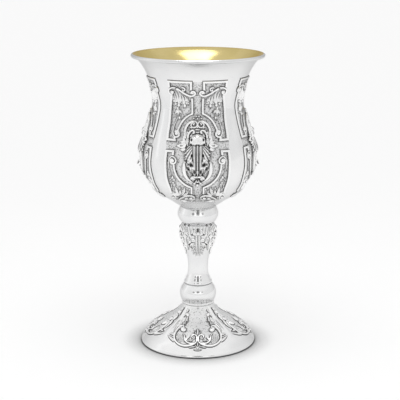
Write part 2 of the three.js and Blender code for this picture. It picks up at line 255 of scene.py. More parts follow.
STRAP = Section(GUTTER + STRAP_TOP)
LEAF = Section(LOW_GUTTER + LEAF_TOP)
FOOT_STRAP = Section(WIDE_GUTTER + STRAP_TOP)
FOOT_LEAF = Section(WIDE_GUTTER + LEAF_TOP)
CAST_BAND = Section(SIDE + BAND_TOP)
CAST_RIM = Section(LIGHT_SIDE + BAND_TOP)
CAST_LEAF = Section(SIDE + LEAF_TOP)
PEARL = LOW_GUTTER + PEARL_TOP
CAST_PEARL = SIDE + PEARL_TOP
# A pit: a small raised button painted dark all over, as painted shade of a hole.
PAINTED_SHADE_PIT = ((1, 0, 0, -0.1, 1), (1, 0, 0.6, 0, 1), (0.5, 0, 1, 0, 1), (0, 0, 1, 0, 1))


def between_rows(rows: int, columns: int, closed: bool) -> list[tuple[int, ...]]:
    """Returns the faces between rows of points, where each row may close into a ring."""
    beside = [(j, (j + 1) % columns) for j in range(columns if closed else columns - 1)]
    return [(i * columns + a, i * columns + b, (i + 1) * columns + b, (i + 1) * columns + a)
            for i in range(rows - 1) for a, b in beside]


class Relief:
    """Raised work in points, faces and how dark each point is, before it is a mesh."""

    def __init__(self, section: Section = STRAP, pearl: Rows = PEARL, lift: Lift = 0.0,
                 at: Callable[[float, float], Point] = lambda x, s: (x, s)) -> None:
        """Starts with nothing.

        Args:
            section: the outline across a line that is given no other.
            pearl: the outline of a button that is given no other.
            lift: the ground's own height, or a function of x and s that gives it.
            at: turns a place in the drawing into x and s on the wall.
        """
        self.section, self.pearl, self.lift, self.at = section, pearl, lift, at
        self.points = np.zeros((0, 3))
        self.dark = np.zeros(0)
        self.faces: list[tuple[int, ...]] = []

    def add(self, points: Array, dark: Array, faces: Sequence[tuple[int, ...]]) -> None:
        """Adds a form with its own faces."""
        first = len(self.points)
        self.points = np.vstack([self.points, points])
        self.dark = np.concatenate([self.dark, dark])
        self.faces += [tuple(first + i for i in face) for face in faces]

    def add_all(self, other: "Relief") -> "Relief":
        """Adds another relief and returns this one."""
        self.add(other.points, other.dark, other.faces)
        return self

    def _ground(self, lift: Optional[Lift], x: Array, s: Array) -> Array:
        """Returns the ground's height at some places."""
        lift = self.lift if lift is None else lift
        return lift(x, s) if callable(lift) else np.full(len(x), lift)

    def swept(self, runs: Sequence[Sequence[Point]], width: float, rise: float,
              section: Optional[Section] = None, taper: Taper = Taper.ROUND,
              lift: Optional[Lift] = None) -> None:
        """Adds a raised line along smooth runs that meet at corners; the rest is as for line."""
        path = Path(runs)
        outline = (section or self.section).whole()
        size = width_share(taper, path.share, path.length, width)[:, None]
        reach = outline[:, 0] * (width / 2) * size + outline[:, 1] * np.minimum(1, 2 * size)
        places = path.xy[:, None, :] + path.across[:, None, :] * reach[:, :, None]
        high = outline[:, 2] * rise * np.sqrt(size) + outline[:, 3]
        high = high + self._ground(lift, *path.xy.T)[:, None]
        points = np.concatenate([places, high[:, :, None]], axis=2).reshape(-1, 3)
        n, m = high.shape
        ends = [tuple(range(m))[::-1], tuple((n - 1) * m + j for j in range(m))]
        self.add(points, np.tile(outline[:, 4], n), between_rows(n, m, True) + ends)

    def line(self, run: Sequence[Point], width: float, rise: float, section: Optional[Section] = None,
             taper: Taper = Taper.ROUND, curl: Sequence = (), lift: Optional[Lift] = None) -> None:
        """Adds a raised line or a leaf.

        Args:
            run: the points that it runs through.
            width: its full width.
            rise: its height off the ground.
            section: the outline across it, if not the relief's own.
            taper: how its width runs.
            curl: the centre, turns and tightness of the spiral that it ends in, if any.
            lift: the ground's height, if not the relief's own.
        """
        places = [self.at(*place) for place in run]
        if curl:
            places = curled(places, self.at(*curl[0]), *curl[1:])
        self.swept([places], width, rise, section, taper, lift)

    def lines(self, rows: Sequence[Sequence], rise: float, section: Optional[Section] = None,
              taper: Taper = Taper.LEAF) -> None:
        """Adds a line for each row, which holds its width and then its points."""
        for width, *run in rows:
            self.line(run, width, rise, section, taper)

    def button(self, place: Point, radius: float, rise: float, outline: Optional[Rows] = None,
               stretch: float = 1.0, lean: float = 0.0, lift: Optional[Lift] = None) -> None:
        """Adds a pearl, an eye, a drop or a pit.

        Args:
            place: its centre.
            radius: its radius.
            rise: its height off the ground.
            outline: rows as in a Section, from its foot to its centre, if not the relief's own.
            stretch: its length over its width.
            lean: the angle of its length from upright, in degrees.
            lift: the ground's height, if not the relief's own.
        """
        at = self.at(*place)
        rows = np.array(outline or self.pearl)
        turn = np.linspace(0, 2 * math.pi, BUTTON_SIDES, endpoint=False)
        reach = (rows[:-1, 0] * radius + rows[:-1, 1])[:, None]
        wide, long = reach * np.cos(turn), reach * np.sin(turn) * stretch
        tilt = math.radians(lean)
        x = wide * math.cos(tilt) - long * math.sin(tilt) + at[0]
        s = wide * math.sin(tilt) + long * math.cos(tilt) + at[1]
        high = rows[:, 2] * rise + rows[:, 3] + self._ground(lift, *np.array([at]).T)
        ring = np.stack([x, s, np.broadcast_to(high[:-1, None], x.shape)], axis=2).reshape(-1, 3)
        n, m, top = len(rows) - 1, BUTTON_SIDES, len(ring)
        faces = between_rows(n, m, True)
        faces += [(top - m + j, top - m + (j + 1) % m, top) for j in range(m)]
        faces += [((j + 1) % m, j, top + 1) for j in range(m)]
        dark = np.concatenate([np.repeat(rows[:-1, 4], m), [rows[-1, 4], 1]])
        self.add(np.vstack([ring, [*at, high[-1]], [*at, high[0]]]), dark, faces)

    def buttons(self, rows: Sequence[Sequence[float]]) -> None:
        """Adds a button for each row: x, s, its radius, its rise, and its stretch if it has one."""
        for x, s, radius, rise, *stretch in rows:
            self.button((x, s), radius, rise, None, *stretch)

    def both(self) -> "Relief":
        """Returns this left half together with its mirror image."""
        whole = Relief(self.section, self.pearl, self.lift, self.at)
        whole.add(self.points, self.dark, self.faces)
        whole.add(self.points * [-1, 1, 1], self.dark, [face[::-1] for face in self.faces])
        return whole

    def laid(self, wall: TurnedWall, turns: Sequence[float], floor: float = -math.inf) -> "Relief":
        """Returns this flat work laid on a wall at each turn, no lower than a floor in metres."""
        placed = Relief()
        for turn in turns:
            points = wall.place(self.points, turn)
            points[:, 2] = np.maximum(points[:, 2], floor)
            placed.add(points, self.dark, self.faces)
        return placed

    def piece(self, name: str, material: Material) -> Piece:
        """Makes the mesh object, with how dark its points are as an attribute."""
        mesh = bpy.data.meshes.new(name)
        mesh.from_pydata([tuple(p) for p in self.points], [], self.faces)
        mesh.materials.append(material)
        made = bpy.data.objects.new(name, mesh)
        bpy.context.scene.collection.objects.link(made)
        darkened(made, self.dark)
        outwards(made)
        shaded(made, 42)
        return made


# Modelling by operators

def only(piece: Piece) -> None:
    """Leaves one object selected and active."""
    bpy.ops.object.select_all(action="DESELECT")
    piece.select_set(True)
    bpy.context.view_layer.objects.active = piece


def outwards(piece: Piece) -> None:
    """Turns a closed piece's faces outwards."""
    only(piece)
    bpy.ops.object.mode_set(mode="EDIT")
    bpy.ops.mesh.select_all(action="SELECT")
    bpy.ops.mesh.normals_make_consistent(inside=False)
    bpy.ops.object.mode_set(mode="OBJECT")


def spun(name: str, outline: Array, steps: int) -> Piece:
    """Spins a closed outline round the axis.

    Args:
        name: the piece's name.
        outline: rows of radius and height in millimetres.
        steps: how many sides the turned piece has.

    Returns:
        The turned piece, closed, with its faces outwards.
    """
    bpy.ops.object.select_all(action="DESELECT")
    bpy.ops.mesh.primitive_circle_add(vertices=len(outline), radius=0.01)
    piece = bpy.context.object
    piece.name = piece.data.name = name
    moved(piece, np.column_stack([np.zeros(len(outline)), -outline[:, 0], outline[:, 1]]))
    bpy.ops.object.mode_set(mode="EDIT")
    bpy.ops.mesh.select_all(action="SELECT")
    bpy.ops.mesh.spin(steps=steps, angle=2 * math.pi, center=(0, 0, 0), axis=(0, 0, 1))
    bpy.ops.mesh.select_all(action="SELECT")
    bpy.ops.mesh.remove_doubles(threshold=2e-6)
    bpy.ops.mesh.normals_make_consistent(inside=False)
    bpy.ops.object.mode_set(mode="OBJECT")
    return piece


def shaded(piece: Piece, angle: float = 40) -> None:
    """Shades a piece smooth up to an angle in degrees."""
    only(piece)
    bpy.ops.object.shade_smooth_by_angle(angle=math.radians(angle))


def darkened(piece: Piece, share: Array) -> None:
    """Writes how dark the silver is at each of a piece's points, from oxide and painted shade."""
    dark = piece.data.attributes.new("oxide_and_shade", "FLOAT", "POINT")
    dark.data.foreach_set("value", share.astype(np.float32))


def points_of(piece: Piece) -> Array:
    """Returns a piece's points in millimetres."""
    flat = np.zeros(len(piece.data.vertices) * 3)
    piece.data.vertices.foreach_get("co", flat)
    return flat.reshape(-1, 3) / MM


def moved(piece: Piece, points: Array) -> None:
    """Puts a piece's points at places in millimetres."""
    piece.data.vertices.foreach_set("co", (points * MM).ravel())


def round_axis(points: Array) -> tuple[Array, Array]:
    """Returns each point's radius and its angle from the nearest line between two panels."""
    angle = np.arctan2(points[:, 0], -points[:, 1])
    return np.hypot(points[:, 0], points[:, 1]), np.abs(angle % (math.pi / 2) - math.pi / 4)


def fitted(piece: Piece) -> None:
    """Lets a piece move with the cup and logs how many faces it has."""
    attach(piece, "root")
    LOG.info("%s: %d faces", piece.name, len(piece.data.polygons))


# Finishes

class Value:
    """A number in a node tree, for shader maths written as expressions."""

    def __init__(self, tree: "Nodes", socket: Socket) -> None:
        """Takes the tree and the socket that gives the number."""
        self.tree = tree
        self.socket = socket

    def _math(self, operation: str, first: object, second: object) -> "Value":
        """Adds a Math node for an operator."""
        node = self.tree.node("ShaderNodeMath", {"operation": operation}, {0: first, 1: second})
        return Value(self.tree, node.outputs[0])

    def __add__(self, other: object) -> "Value":
        """Adds."""
        return self._math("ADD", self, other)

    def __sub__(self, other: object) -> "Value":
        """Takes away."""
        return self._math("SUBTRACT", self, other)

    def __rsub__(self, other: object) -> "Value":
        """Is taken away from a number."""
        return self._math("SUBTRACT", other, self)

    def __mul__(self, other: object) -> "Value":
        """Multiplies."""
        return self._math("MULTIPLY", self, other)

    def __pow__(self, other: object) -> "Value":
        """Raises to a power."""
        return self._math("POWER", self, other)

    __radd__ = __add__
    __rmul__ = __mul__

    def between(self, low: float, high: float, soft: float) -> "Value":
        """Returns 1 between two numbers and 0 outside them, with soft edges."""
        return self.ramp(low - soft, low + soft) * (1 - self.ramp(high - soft, high + soft))

    def ramp(self, low: float, high: float) -> "Value":
        """Returns a smooth step from 0 at low to 1 at high."""
        settings = {"interpolation_type": "SMOOTHSTEP"}
        inputs = {"Value": self, "From Min": low, "From Max": high}
        node = self.tree.node("ShaderNodeMapRange", settings, inputs)
        return Value(self.tree, node.outputs["Result"])


class Nodes:
    """A node tree that is filled by calls."""

    def __init__(self, tree: bpy.types.NodeTree) -> None:
        """Clears the tree."""
        self.tree = tree
        tree.nodes.clear()

    def node(self, kind: str, settings: dict[str, object],
             inputs: dict[object, object]) -> bpy.types.Node:
        """Adds a node.

        Args:
            kind: the node's type.
            settings: its settings.
            inputs: values or links by socket name or number.

        Returns:
            The node.
        """
        made = self.tree.nodes.new(kind)
        for key, value in settings.items():
            setattr(made, key, value)
        for key, value in inputs.items():
            socket = value.socket if isinstance(value, Value) else value
            if isinstance(socket, Socket):
                self.tree.links.new(socket, made.inputs[key])
            else:
                made.inputs[key].default_value = socket
        return made

    def noise(self, where: Socket, scale: float, detail: float,
              warp: float = 0) -> Value:
        """Returns smooth noise of a scale per metre."""
        inputs = {"Vector": where, "Scale": scale, "Detail": detail, "Distortion": warp}
        return Value(self, self.node("ShaderNodeTexNoise", {}, inputs).outputs[0])

    def mixed(self, share: object, first: object, second: object) -> Socket:
        """Returns one colour going over into another by a share."""
        def colour(value: object) -> object:
            """Gives a plain colour its alpha."""
            return (*value, 1) if isinstance(value, tuple) else value
        inputs = {0: share, 6: colour(first), 7: colour(second)}
        return self.node("ShaderNodeMix", {"data_type": "RGBA"}, inputs).outputs[2]


@dataclass(frozen=True)
class Silver:
    """Silver, from bright polish to dark oxide in the hollows and painted shade; scales are per metre."""

    name: str
    bright: Colour = (0.87, 0.87, 0.868)
    cloud: Colour = (0.82, 0.822, 0.825)
    oxide_and_shade: Colour = (0.06, 0.058, 0.057)
    edge: Colour = (0.7, 0.7, 0.7)
    roughness: float = 0.12
    dark_roughness: float = 0.5
    cloud_roughness: float = 0.05
    cloud_scale: float = 55
    grain_scale: float = 900
    grain_height: float = 0.03
    hair_scale: float = 2600
    hair_height: float = 0.0125
    ground: float = 0.0
    punches: float = 0.0
    pit_height: float = 0.9
    pit_dark: float = 0.85
    bump: float = 0.5
    bump_reach: float = 0.00012

    def material(self) -> Material:
        """Makes the material."""
        made = bpy.data.materials.new(self.name)
        made.use_nodes = True
        nodes = Nodes(made.node_tree)
        where = nodes.node("ShaderNodeTexCoord", {}, {}).outputs["Object"]
        written = nodes.node("ShaderNodeAttribute", {"attribute_name": "oxide_and_shade"}, {})
        broad = nodes.noise(where, self.cloud_scale, 3, 0.4)
        fine = nodes.noise(where, self.grain_scale, 3)
        stretched = nodes.node("ShaderNodeMapping", {}, {"Vector": where, "Scale": (1, 1, 6)})
        hairs = nodes.noise(stretched.outputs[0], self.hair_scale, 2)
        dark = (Value(nodes, written.outputs["Fac"]) + self.ground * (0.6 + 0.8 * fine)).ramp(0.02, 1.0)
        height = hairs * self.hair_height + fine * self.grain_height
        if self.punches:
            inputs = {"Vector": where, "Scale": self.punches}
            cells = nodes.node("ShaderNodeTexVoronoi", {"feature": "F1"}, inputs)
            pit = Value(nodes, cells.outputs["Distance"])
            height = height + pit.ramp(0.15, 0.6) * self.pit_height
            hollow = (1 - pit.ramp(0.1, 0.5)) * self.pit_dark * fine.ramp(0.35, 0.6)
            dark = (dark + hollow).ramp(0.0, 1.1)
        tone = nodes.mixed(broad.ramp(0.35, 0.7), self.bright, self.cloud)
        rougher = dark * (self.dark_roughness - self.roughness)
        bump = {"Strength": self.bump, "Distance": self.bump_reach, "Height": height}
        shader = nodes.node("ShaderNodeBsdfPrincipled", {}, {
            "Base Color": nodes.mixed(dark, tone, self.oxide_and_shade),
            "Metallic": 1.0,
            "Specular Tint": (*self.edge, 1),
            "Roughness": self.roughness + rougher + broad * self.cloud_roughness,
            "Normal": nodes.node("ShaderNodeBump", {}, bump).outputs[0],
        })
        nodes.node("ShaderNodeOutputMaterial", {}, {"Surface": shader.outputs[0]})
        return made


@dataclass(frozen=True)
class Finishes:
    """The cup's finishes, one for each kind of surface."""

    polished: Material
    chased: Material
    leafy: Material
    matted: Material
    stippled: Material
    cast: Material
    gilt: Material

    @staticmethod
    def made() -> "Finishes":
        """Makes every finish."""
        pale = (0.97, 0.97, 0.967)
        finishes = {
            "polished": Silver("polished_silver"),
            "chased": Silver("chased_silver", pale, (0.93,) * 3, edge=(0.45,) * 3, roughness=0.2),
            "leafy": Silver("leaf_silver", pale, (0.92,) * 3, roughness=0.2),
            "matted": Silver("matted_silver", edge=(0.5,) * 3, roughness=0.42, ground=0.335,
                             punches=1050, bump=0.9),
            "stippled": Silver("stippled_silver", roughness=0.42, ground=0.14, punches=1050, bump=0.8),
            "cast": Silver("cast_silver", pale, (0.9,) * 3, edge=(0.3,) * 3, roughness=0.2),
            "gilt": Silver("gilt_lining", (0.62, 0.512, 0.245), (0.56, 0.46, 0.2), (0.35, 0.25, 0.1),
                           (0.8, 0.7, 0.5), 0.16),
        }
        return Finishes(**{part: finish.material() for part, finish in finishes.items()})


@dataclass
class Ground:
    """The matted ground of a panel, laid as a thin sheet that comes again at each quarter turn."""

    name: str
    wall: TurnedWall
    edge: Sequence[Point]
    columns: int
    rows: int
    beside: float = 0.24
    beside_reach: float = 1.4
    height: float = 0.06
    sunk: float = -0.2
    rim: float = 0.02

    def laid(self, worked: Array, finish: Material) -> Piece:
        """Lays the sheet in all four panels, its rim sunk in the wall.

        Args:
            worked: flat places of the raised work, beside which the ground is darker.
            finish: the material.

        Returns:
            The grounds of all the panels, as one piece.
        """
        bpy.ops.object.select_all(action="DESELECT")
        bpy.ops.mesh.primitive_grid_add(x_subdivisions=self.columns, y_subdivisions=self.rows, size=1)
        sheet = bpy.context.object
        sheet.name = sheet.data.name = self.name
        unit = points_of(sheet) * MM
        half_widths, stations = np.array(self.edge).T
        u, s = unit[:, 0] * 2, stations[0] + (unit[:, 1] + 0.5) * (stations[-1] - stations[0])
        half = np.interp(s, stations, half_widths)
        margin = np.minimum(np.minimum((1 - np.abs(u)) * half, s - stations[0]), stations[-1] - s)
        flat = np.column_stack([u * half, s, np.where(margin < self.rim, self.sunk, self.height)])
        sheet.data.materials.append(finish)
        tree = KDTree(len(worked))
        for i, (x, along, _) in enumerate(worked):
            tree.insert((x, along, 0), i)
        tree.balance()
        gap = np.array([tree.find((x, along, 0))[2] for x, along, _ in flat])
        darkened(sheet, self.beside * np.clip(1 - gap / self.beside_reach, 0, 1) ** 0.8)
        panels = [sheet]
        for _ in QUARTERS[1:]:
            copy = sheet.copy()
            copy.data = sheet.data.copy()
            bpy.context.scene.collection.objects.link(copy)
            panels.append(copy)
        for panel, turn in zip(panels, QUARTERS):
            panel.data.vertices.foreach_set("co", self.wall.place(flat, turn).ravel())
        only(sheet)
        for copy in panels[1:]:
            copy.select_set(True)
        bpy.ops.object.join()
        shaded(sheet, 60)
        return sheet


# The bowl

BOWL_STATIONS = (
    (12.7, 101.2), (21, 106.9), (29, 112), (34.8, 119.6), (38.2, 128), (39.4, 136.5), (38.3, 146),
    (35.9, 156.5), (33, 167), (31.5, 177), (33, 187), (36.2, 196.6), (39.9, 203.2), (43.9, 207.9))
# The left half of a panel's frames: width, then smooth runs that meet at corners.
FRAMES = (
    (1.6, ((-4.4, 99.8), (-4.3, 106)), ((-4.3, 106), (-20.6, 106)), ((-20.6, 106), (-19.9, 101.2))),
    (1.8, ((-18.2, 96.6), (-18.7, 91.6), (-19.2, 86.7), (-19.5, 81.3), (-19.9, 77.2), (-20.6, 72.3),
           (-21.2, 68.2), (-21.3, 65.3)), ((-21.3, 65.3), (-15.7, 65.3)), ((-15.7, 65.3), (-16, 67.6))),
    (1.4, ((-3.7, 94.8), (-3.5, 89.6), (-3.5, 83.6)),
     ((-3.5, 83.6), (-5.3, 82.8), (-7.4, 81.3), (-9.5, 79.2), (-11.1, 76.9), (-12.3, 74.5),
      (-13.2, 72.4), (-13.4, 70.6))),
    (1.8, ((-17.2, 54.6), (-16.8, 57.6)), ((-16.8, 57.6), (-22.1, 57.4)),
     ((-22.1, 57.4), (-22.6, 53.8), (-22.9, 49.7), (-22.8, 44.1), (-22.5, 39.7), (-21.8, 35.9),
      (-20.8, 32.7), (-19.9, 29.9), (-19.2, 26.9), (-19, 25.2))),
    (1.45, ((-16.3, 49), (-16.2, 46.3), (-15.5, 43.8), (-14.2, 40.8), (-12.3, 38.2), (-10.2, 36.1),
            (-8, 34.4), (-6, 33.3), (-4.1, 32.4)), ((-4.1, 32.4), (-4, 26.3))),
)
# The half width of the matted ground at each station, from the bottom up.
GROUND_EDGE = (
    (15.4, 16.4), (16.6, 18), (18, 20.6), (18.9, 23.6), (19, 26.9), (19.7, 30.2), (20.6, 32.7),
    (21.7, 35.9), (22.4, 39.7), (22.7, 44.1), (22.8, 49.7), (22.5, 53.8), (22.2, 57.5), (23.2, 58.2),
    (23.2, 64.4), (21.1, 65.3), (20.8, 68.2), (20.2, 72.3), (19.5, 77.2), (19, 81.3), (18.8, 86.7),
    (18.2, 91.6), (18, 96), (19.6, 98.6), (20.4, 102), (20.7, 106.5))
# Scrolls that join the frames: width, rise, taper, the spiral they end in, then points.
SCROLLS = (
    (1.2, 1, Taper.ROUND, ((-18.3, 98.5), 0.8, 0.4), (-15, 101.4), (-17.6, 101.6), (-20, 100.2)),
    (1.3, 1, Taper.ROUND, ((-3.3, 98.1), 0.75), (-14.8, 101.4), (-12.9, 100.4), (-10.4, 98.8),
     (-7.6, 97.1), (-5.1, 96.1), (-3.1, 96.2), (-1.6, 97.6)),
    (1.7, 1, Taper.DROP, ((-14.6, 69.9), 0.6), (-13.4, 81), (-14.8, 78.3), (-15.9, 76.1),
     (-16.7, 73.4), (-17.1, 70.6), (-16.4, 68.2), (-14.8, 67.3), (-12.9, 68.2)),
    (1.6, 1, Taper.DROP, ((-17.4, 51.3), -0.75), (-18.3, 41), (-19.4, 43.4), (-20.2, 46.6),
     (-20.4, 50.4), (-19.3, 53), (-17.4, 54), (-15.4, 53), (-14.8, 51.1)),
    (1.4, 1, Taper.ROUND, ((-4.2, 22), -0.55), (-13.4, 19.4), (-10.9, 22.2), (-7.6, 24.4),
     (-4.6, 24.9), (-2.3, 23.4), (-2.5, 21)),
    (1.3, 0.8, Taper.ROUND, (), (-3.9, 20), (-3.8, 18), (-3.7, 16.6)),
    (1.3, 0.9, Taper.ROUND, ((-17.4, 20.8), -0.9), (-19, 25.4), (-17.4, 24.8), (-15.8, 23.2),
     (-15.4, 21)),
    (0.95, 0.8, Taper.ROUND, ((-9.6, 100.5), -0.7), (-11.3, 101.9), (-9.9, 102), (-8.6, 101.3)),
)
# Pearls: x, s, radius, rise, and length over width.
PEARLS = (
    (-18.3, 98.3, 1.15, 1.2), (-3.3, 98.1, 1.05, 1.3), (-14.6, 69.8, 1.3, 1.3), (-17.4, 51.3, 1.35, 1.4),
    (-4.3, 21.9, 0.85, 1.1), (-17.4, 20.8, 1, 1), (-12.9, 89.2, 0.95, 1, 1.3), (-8.7, 89, 0.95, 1, 1.5),
    (-16.6, 91.9, 0.75, 1, 1.2), (-15.1, 90, 0.8, 1, 1.2), (-7.3, 91, 0.7, 1, 1.3),
    (-6.2, 90.7, 0.65, 1, 1.3), (-10.6, 90.8, 0.5, 1, 1.4), (-13.6, 87, 0.7, 1, 1.7),
    (-12.4, 80.7, 0.85, 1, 1.3), (-15, 81.6, 0.6, 1), (-17.6, 39.4, 0.8, 0.95, 1.3),
    (-17.2, 35.4, 0.65, 0.95, 1.3), (-14.2, 28.4, 0.55, 0.95), (-12.2, 31.4, 0.6, 0.95, 1.2),
    (-10.2, 29.4, 0.55, 0.95), (-7.4, 29.2, 0.55, 0.95), (-5.5, 30.6, 0.6, 0.95, 1.2),
    (-18.6, 31.2, 0.5, 0.95))
# Leaves that hang from the upper scroll: width, then points.
HANGING_LEAVES = (
    (2.3, (-16.6, 100.2), (-14.6, 100.4), (-12.9, 98.6), (-12, 95.6), (-12.3, 92.4), (-13, 89.8)),
    (2.3, (-16.2, 99.4), (-14.7, 97.6), (-13.8, 94.6), (-13.9, 91.2)),
    (2.1, (-16.3, 97.6), (-15.7, 95.6), (-15.4, 93.2), (-15.3, 90.8)),
    (1.5, (-17, 96), (-16.9, 94.4), (-16.7, 92.6)),
    (2.4, (-11.6, 97.8), (-10.2, 95.2), (-9.5, 92.4), (-8.9, 89.9)),
    (2.1, (-9.4, 96.6), (-8.1, 94.6), (-7.5, 91.8)), (1.7, (-7.4, 95.7), (-6.6, 93.8), (-6.3, 91.4)),
    (1.5, (-12.2, 96.4), (-11.2, 94), (-10.7, 91.6)))
# Petals of the upper husk, the husks under the shoulder scroll and the spray over the lower scroll.
PETALS = (
    (2, (-13.4, 86.2), (-14.6, 84.6), (-15.4, 82.8)), (1.9, (-13.4, 86.2), (-13.4, 84), (-13.3, 82.2)),
    (2, (-13.2, 86.2), (-12, 84.9), (-10.7, 83.6)), (1.2, (-17.9, 38.6), (-19.2, 37.8), (-19.5, 36.2)),
    (1.2, (-17.3, 38.6), (-16.2, 37.8), (-16.1, 36.2)), (1.2, (-17.5, 34.8), (-18.3, 33.2), (-18.2, 31.6)),
    (1.3, (-16.9, 34.8), (-16.2, 33.6), (-15.9, 32.4)), (2.1, (-12.4, 24.4), (-14.4, 26.8), (-15.6, 32.2)),
    (2.1, (-11.3, 24.6), (-9.8, 27.6), (-8.7, 32.4)), (1.9, (-13.2, 24), (-16.2, 25.4), (-18.4, 27)),
    (1.8, (-10.3, 24.6), (-7.8, 26.2), (-5.9, 29.6)), (1.7, (-11.8, 24.8), (-12.2, 27.6), (-12.2, 30.4)),
    (1.4, (-13.4, 22.8), (-14.2, 21.4), (-13.9, 19.2)), (1.3, (-9.4, 20.4), (-7.6, 21.4), (-6.4, 20.4)),
    (1.2, (-11.6, 18.2), (-9.2, 18), (-7, 17.6)))


@dataclass
class Bowl:
    """The bell-shaped bowl: its wall, the matted grounds of its panels and their chasing."""

    finishes: Finishes
    wall_thickness: float = 1.0
    floor_radius: float = 2.0
    lip_wire: float = 1.25
    sides: int = 256
    rows: int = 104
    band_swell: float = 0.4
    swell_foot: float = 8.0
    swell_foot_fade: float = 10.0
    swell_top: float = 108.0
    swell_top_fade: float = 14.0
    flare_dark: float = 0.24
    flare_from: float = 188.0
    flare_height: float = 18.0
    wall: TurnedWall = field(default_factory=lambda: TurnedWall(BOWL_STATIONS))

    def build(self) -> None:
        """Builds the bowl's pieces."""
        body = self._body()
        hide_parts("bowl")
        fitted(body)
        chasing = self._chasing().both()
        mounts = Mounts(self.finishes, self.wall)
        worked = np.vstack([chasing.points, mounts.whole.points])
        ground = Ground("bowl_ground", self.wall, GROUND_EDGE, 84, 170)
        fitted(ground.laid(worked, self.finishes.matted))
        fitted(chasing.laid(self.wall, QUARTERS).piece("bowl_chasing", self.finishes.chased))
        mounts.build()

    def _body(self) -> Piece:
        """Spins the wall with its rolled lip, swells the plain bands and gilds the inside."""
        wall = self.wall
        _, outer, out = wall.sampled(self.rows)
        inner = (outer - out * self.wall_thickness)[::-1]
        inner = inner[inner[:, 0] > self.floor_radius]
        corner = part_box("bowl")[1]
        turn = np.radians(np.arange(-80, 150, 10))
        lip = np.column_stack([corner.x / MM - self.lip_wire - 0.01 + self.lip_wire * np.cos(turn),
                               corner.z / MM - self.lip_wire + self.lip_wire * np.sin(turn)])
        bottom = BOWL_STATIONS[0][1]
        outline = np.vstack([[[0, bottom]], outer, lip, inner, [[0, inner[-1, 1] - 0.1]]])
        body = spun("bowl_body", outline, self.sides)
        points = points_of(body)
        radius, off_band = round_axis(points)
        along = np.interp(points[:, 2], wall.profile[:, 1], wall.s)
        half_widths, stations = np.array(GROUND_EDGE).T
        half = np.interp(along, stations, half_widths)
        half_band = np.maximum(math.pi / 4 - half / np.maximum(wall.radius(along), 1), 0.02)
        swell = self.band_swell * np.clip(1 - (off_band / half_band) ** 2, 0, 1) ** 2
        swell *= np.clip((self.swell_top - along) / self.swell_top_fade, 0, 1)
        swell *= np.clip((along - self.swell_foot) / self.swell_foot_fade, 0, 1)
        points[:, :2] *= (1 + swell / np.maximum(radius, 1))[:, None]
        moved(body, points)
        outside = np.hypot(points[:, 0], points[:, 1]) > wall.radius(along) - 0.3
        # The outside of the flare is darkened towards the lip.
        share = np.clip((points[:, 2] - self.flare_from) / self.flare_height, 0, 1)
        darkened(body, self.flare_dark * share * outside)
        self._gilded(body, bottom)
        shaded(body)
        return body

    def _gilded(self, body: Piece, bottom: float) -> None:
        """Gilds the faces inside and leaves the rest polished silver."""
        body.data.materials.append(self.finishes.polished)
        body.data.materials.append(self.finishes.gilt)
        for face in body.data.polygons:
            middle = face.center
            inwards = face.normal.to_2d().dot(middle.to_2d()) < 0 or middle.to_2d().length < 12 * MM
            if inwards and middle.z > (bottom + 0.1) * MM:
                face.material_index = 1

    @staticmethod
    def _chasing() -> Relief:
        """Draws the left half of a panel's frames, scrolls, leaves and pearls."""
        half = Relief()
        for width, *runs in FRAMES:
            half.swept(runs, width, 0.9)
        for width, rise, taper, spiral, *run in SCROLLS:
            half.line(run, width, rise, STRAP, taper, spiral)
        half.lines(HANGING_LEAVES, 1.1, LEAF, Taper.DROP)
        half.lines(PETALS, 0.95, LEAF)
        half.buttons(PEARLS)
        return half


# The cast mounts

# Station, height of the middle off the bowl, and half width of the mount's body, from the bottom up.
MOUNT_BODY = (
    (41.4, 1.7, 2.9), (42.4, 1.8, 4), (45.3, 2, 6), (48.7, 2.3, 7.2), (50.4, 2.7, 7.6), (51.4, 3.7, 7.9),
    (53, 3.95, 8.6), (55.4, 3.8, 9.1), (58.8, 3.1, 8.6), (60.5, 2.7, 7.6), (61.6, 2.3, 6.9),
    (62.6, 2.5, 6.7), (64.5, 3.1, 6.5), (66.5, 3.2, 5.8), (68.6, 2.2, 4.4), (69.6, 1.6, 2.6), (70, 1.4, 1.4))
# Flutes of the fan: x, width and share of the full depth.
FLUTES = ((0.9, 0.36, 1), (3.1, 0.42, 0.75))
# Holes in the body, painted dark inside as shade: x, s, width, length and depth.
HOLES = (
    (4.3, 49, 0.85, 1.3, 1.5), (3.6, 55.3, 0.5, 1, 1), (2.9, 52, 0.4, 1.1, 0.7), (3.9, 65.8, 0.6, 1, 0.8),
    (4.4, 62.6, 0.7, 0.7, 0.8), (5.6, 45.9, 0.5, 0.6, 0.7), (2, 44.4, 0.5, 1.6, 0.6))
# Bulbs on the body: x, s, size, height and how much lighter they are.
BULBS = (
    (2.2, 66.9, 1.4, 0.7, 0.5), (1, 63.4, 0.7, 0.45, 0.8), (3.1, 62.9, 0.7, 0.4, 1.2),
    (5.9, 50.9, 1, 0.7, 1.3), (6.6, 48, 0.9, 0.6, 1.3), (2.9, 47, 0.8, 0.5, 1.3), (4.6, 52, 0.8, 0.5, 1.3))
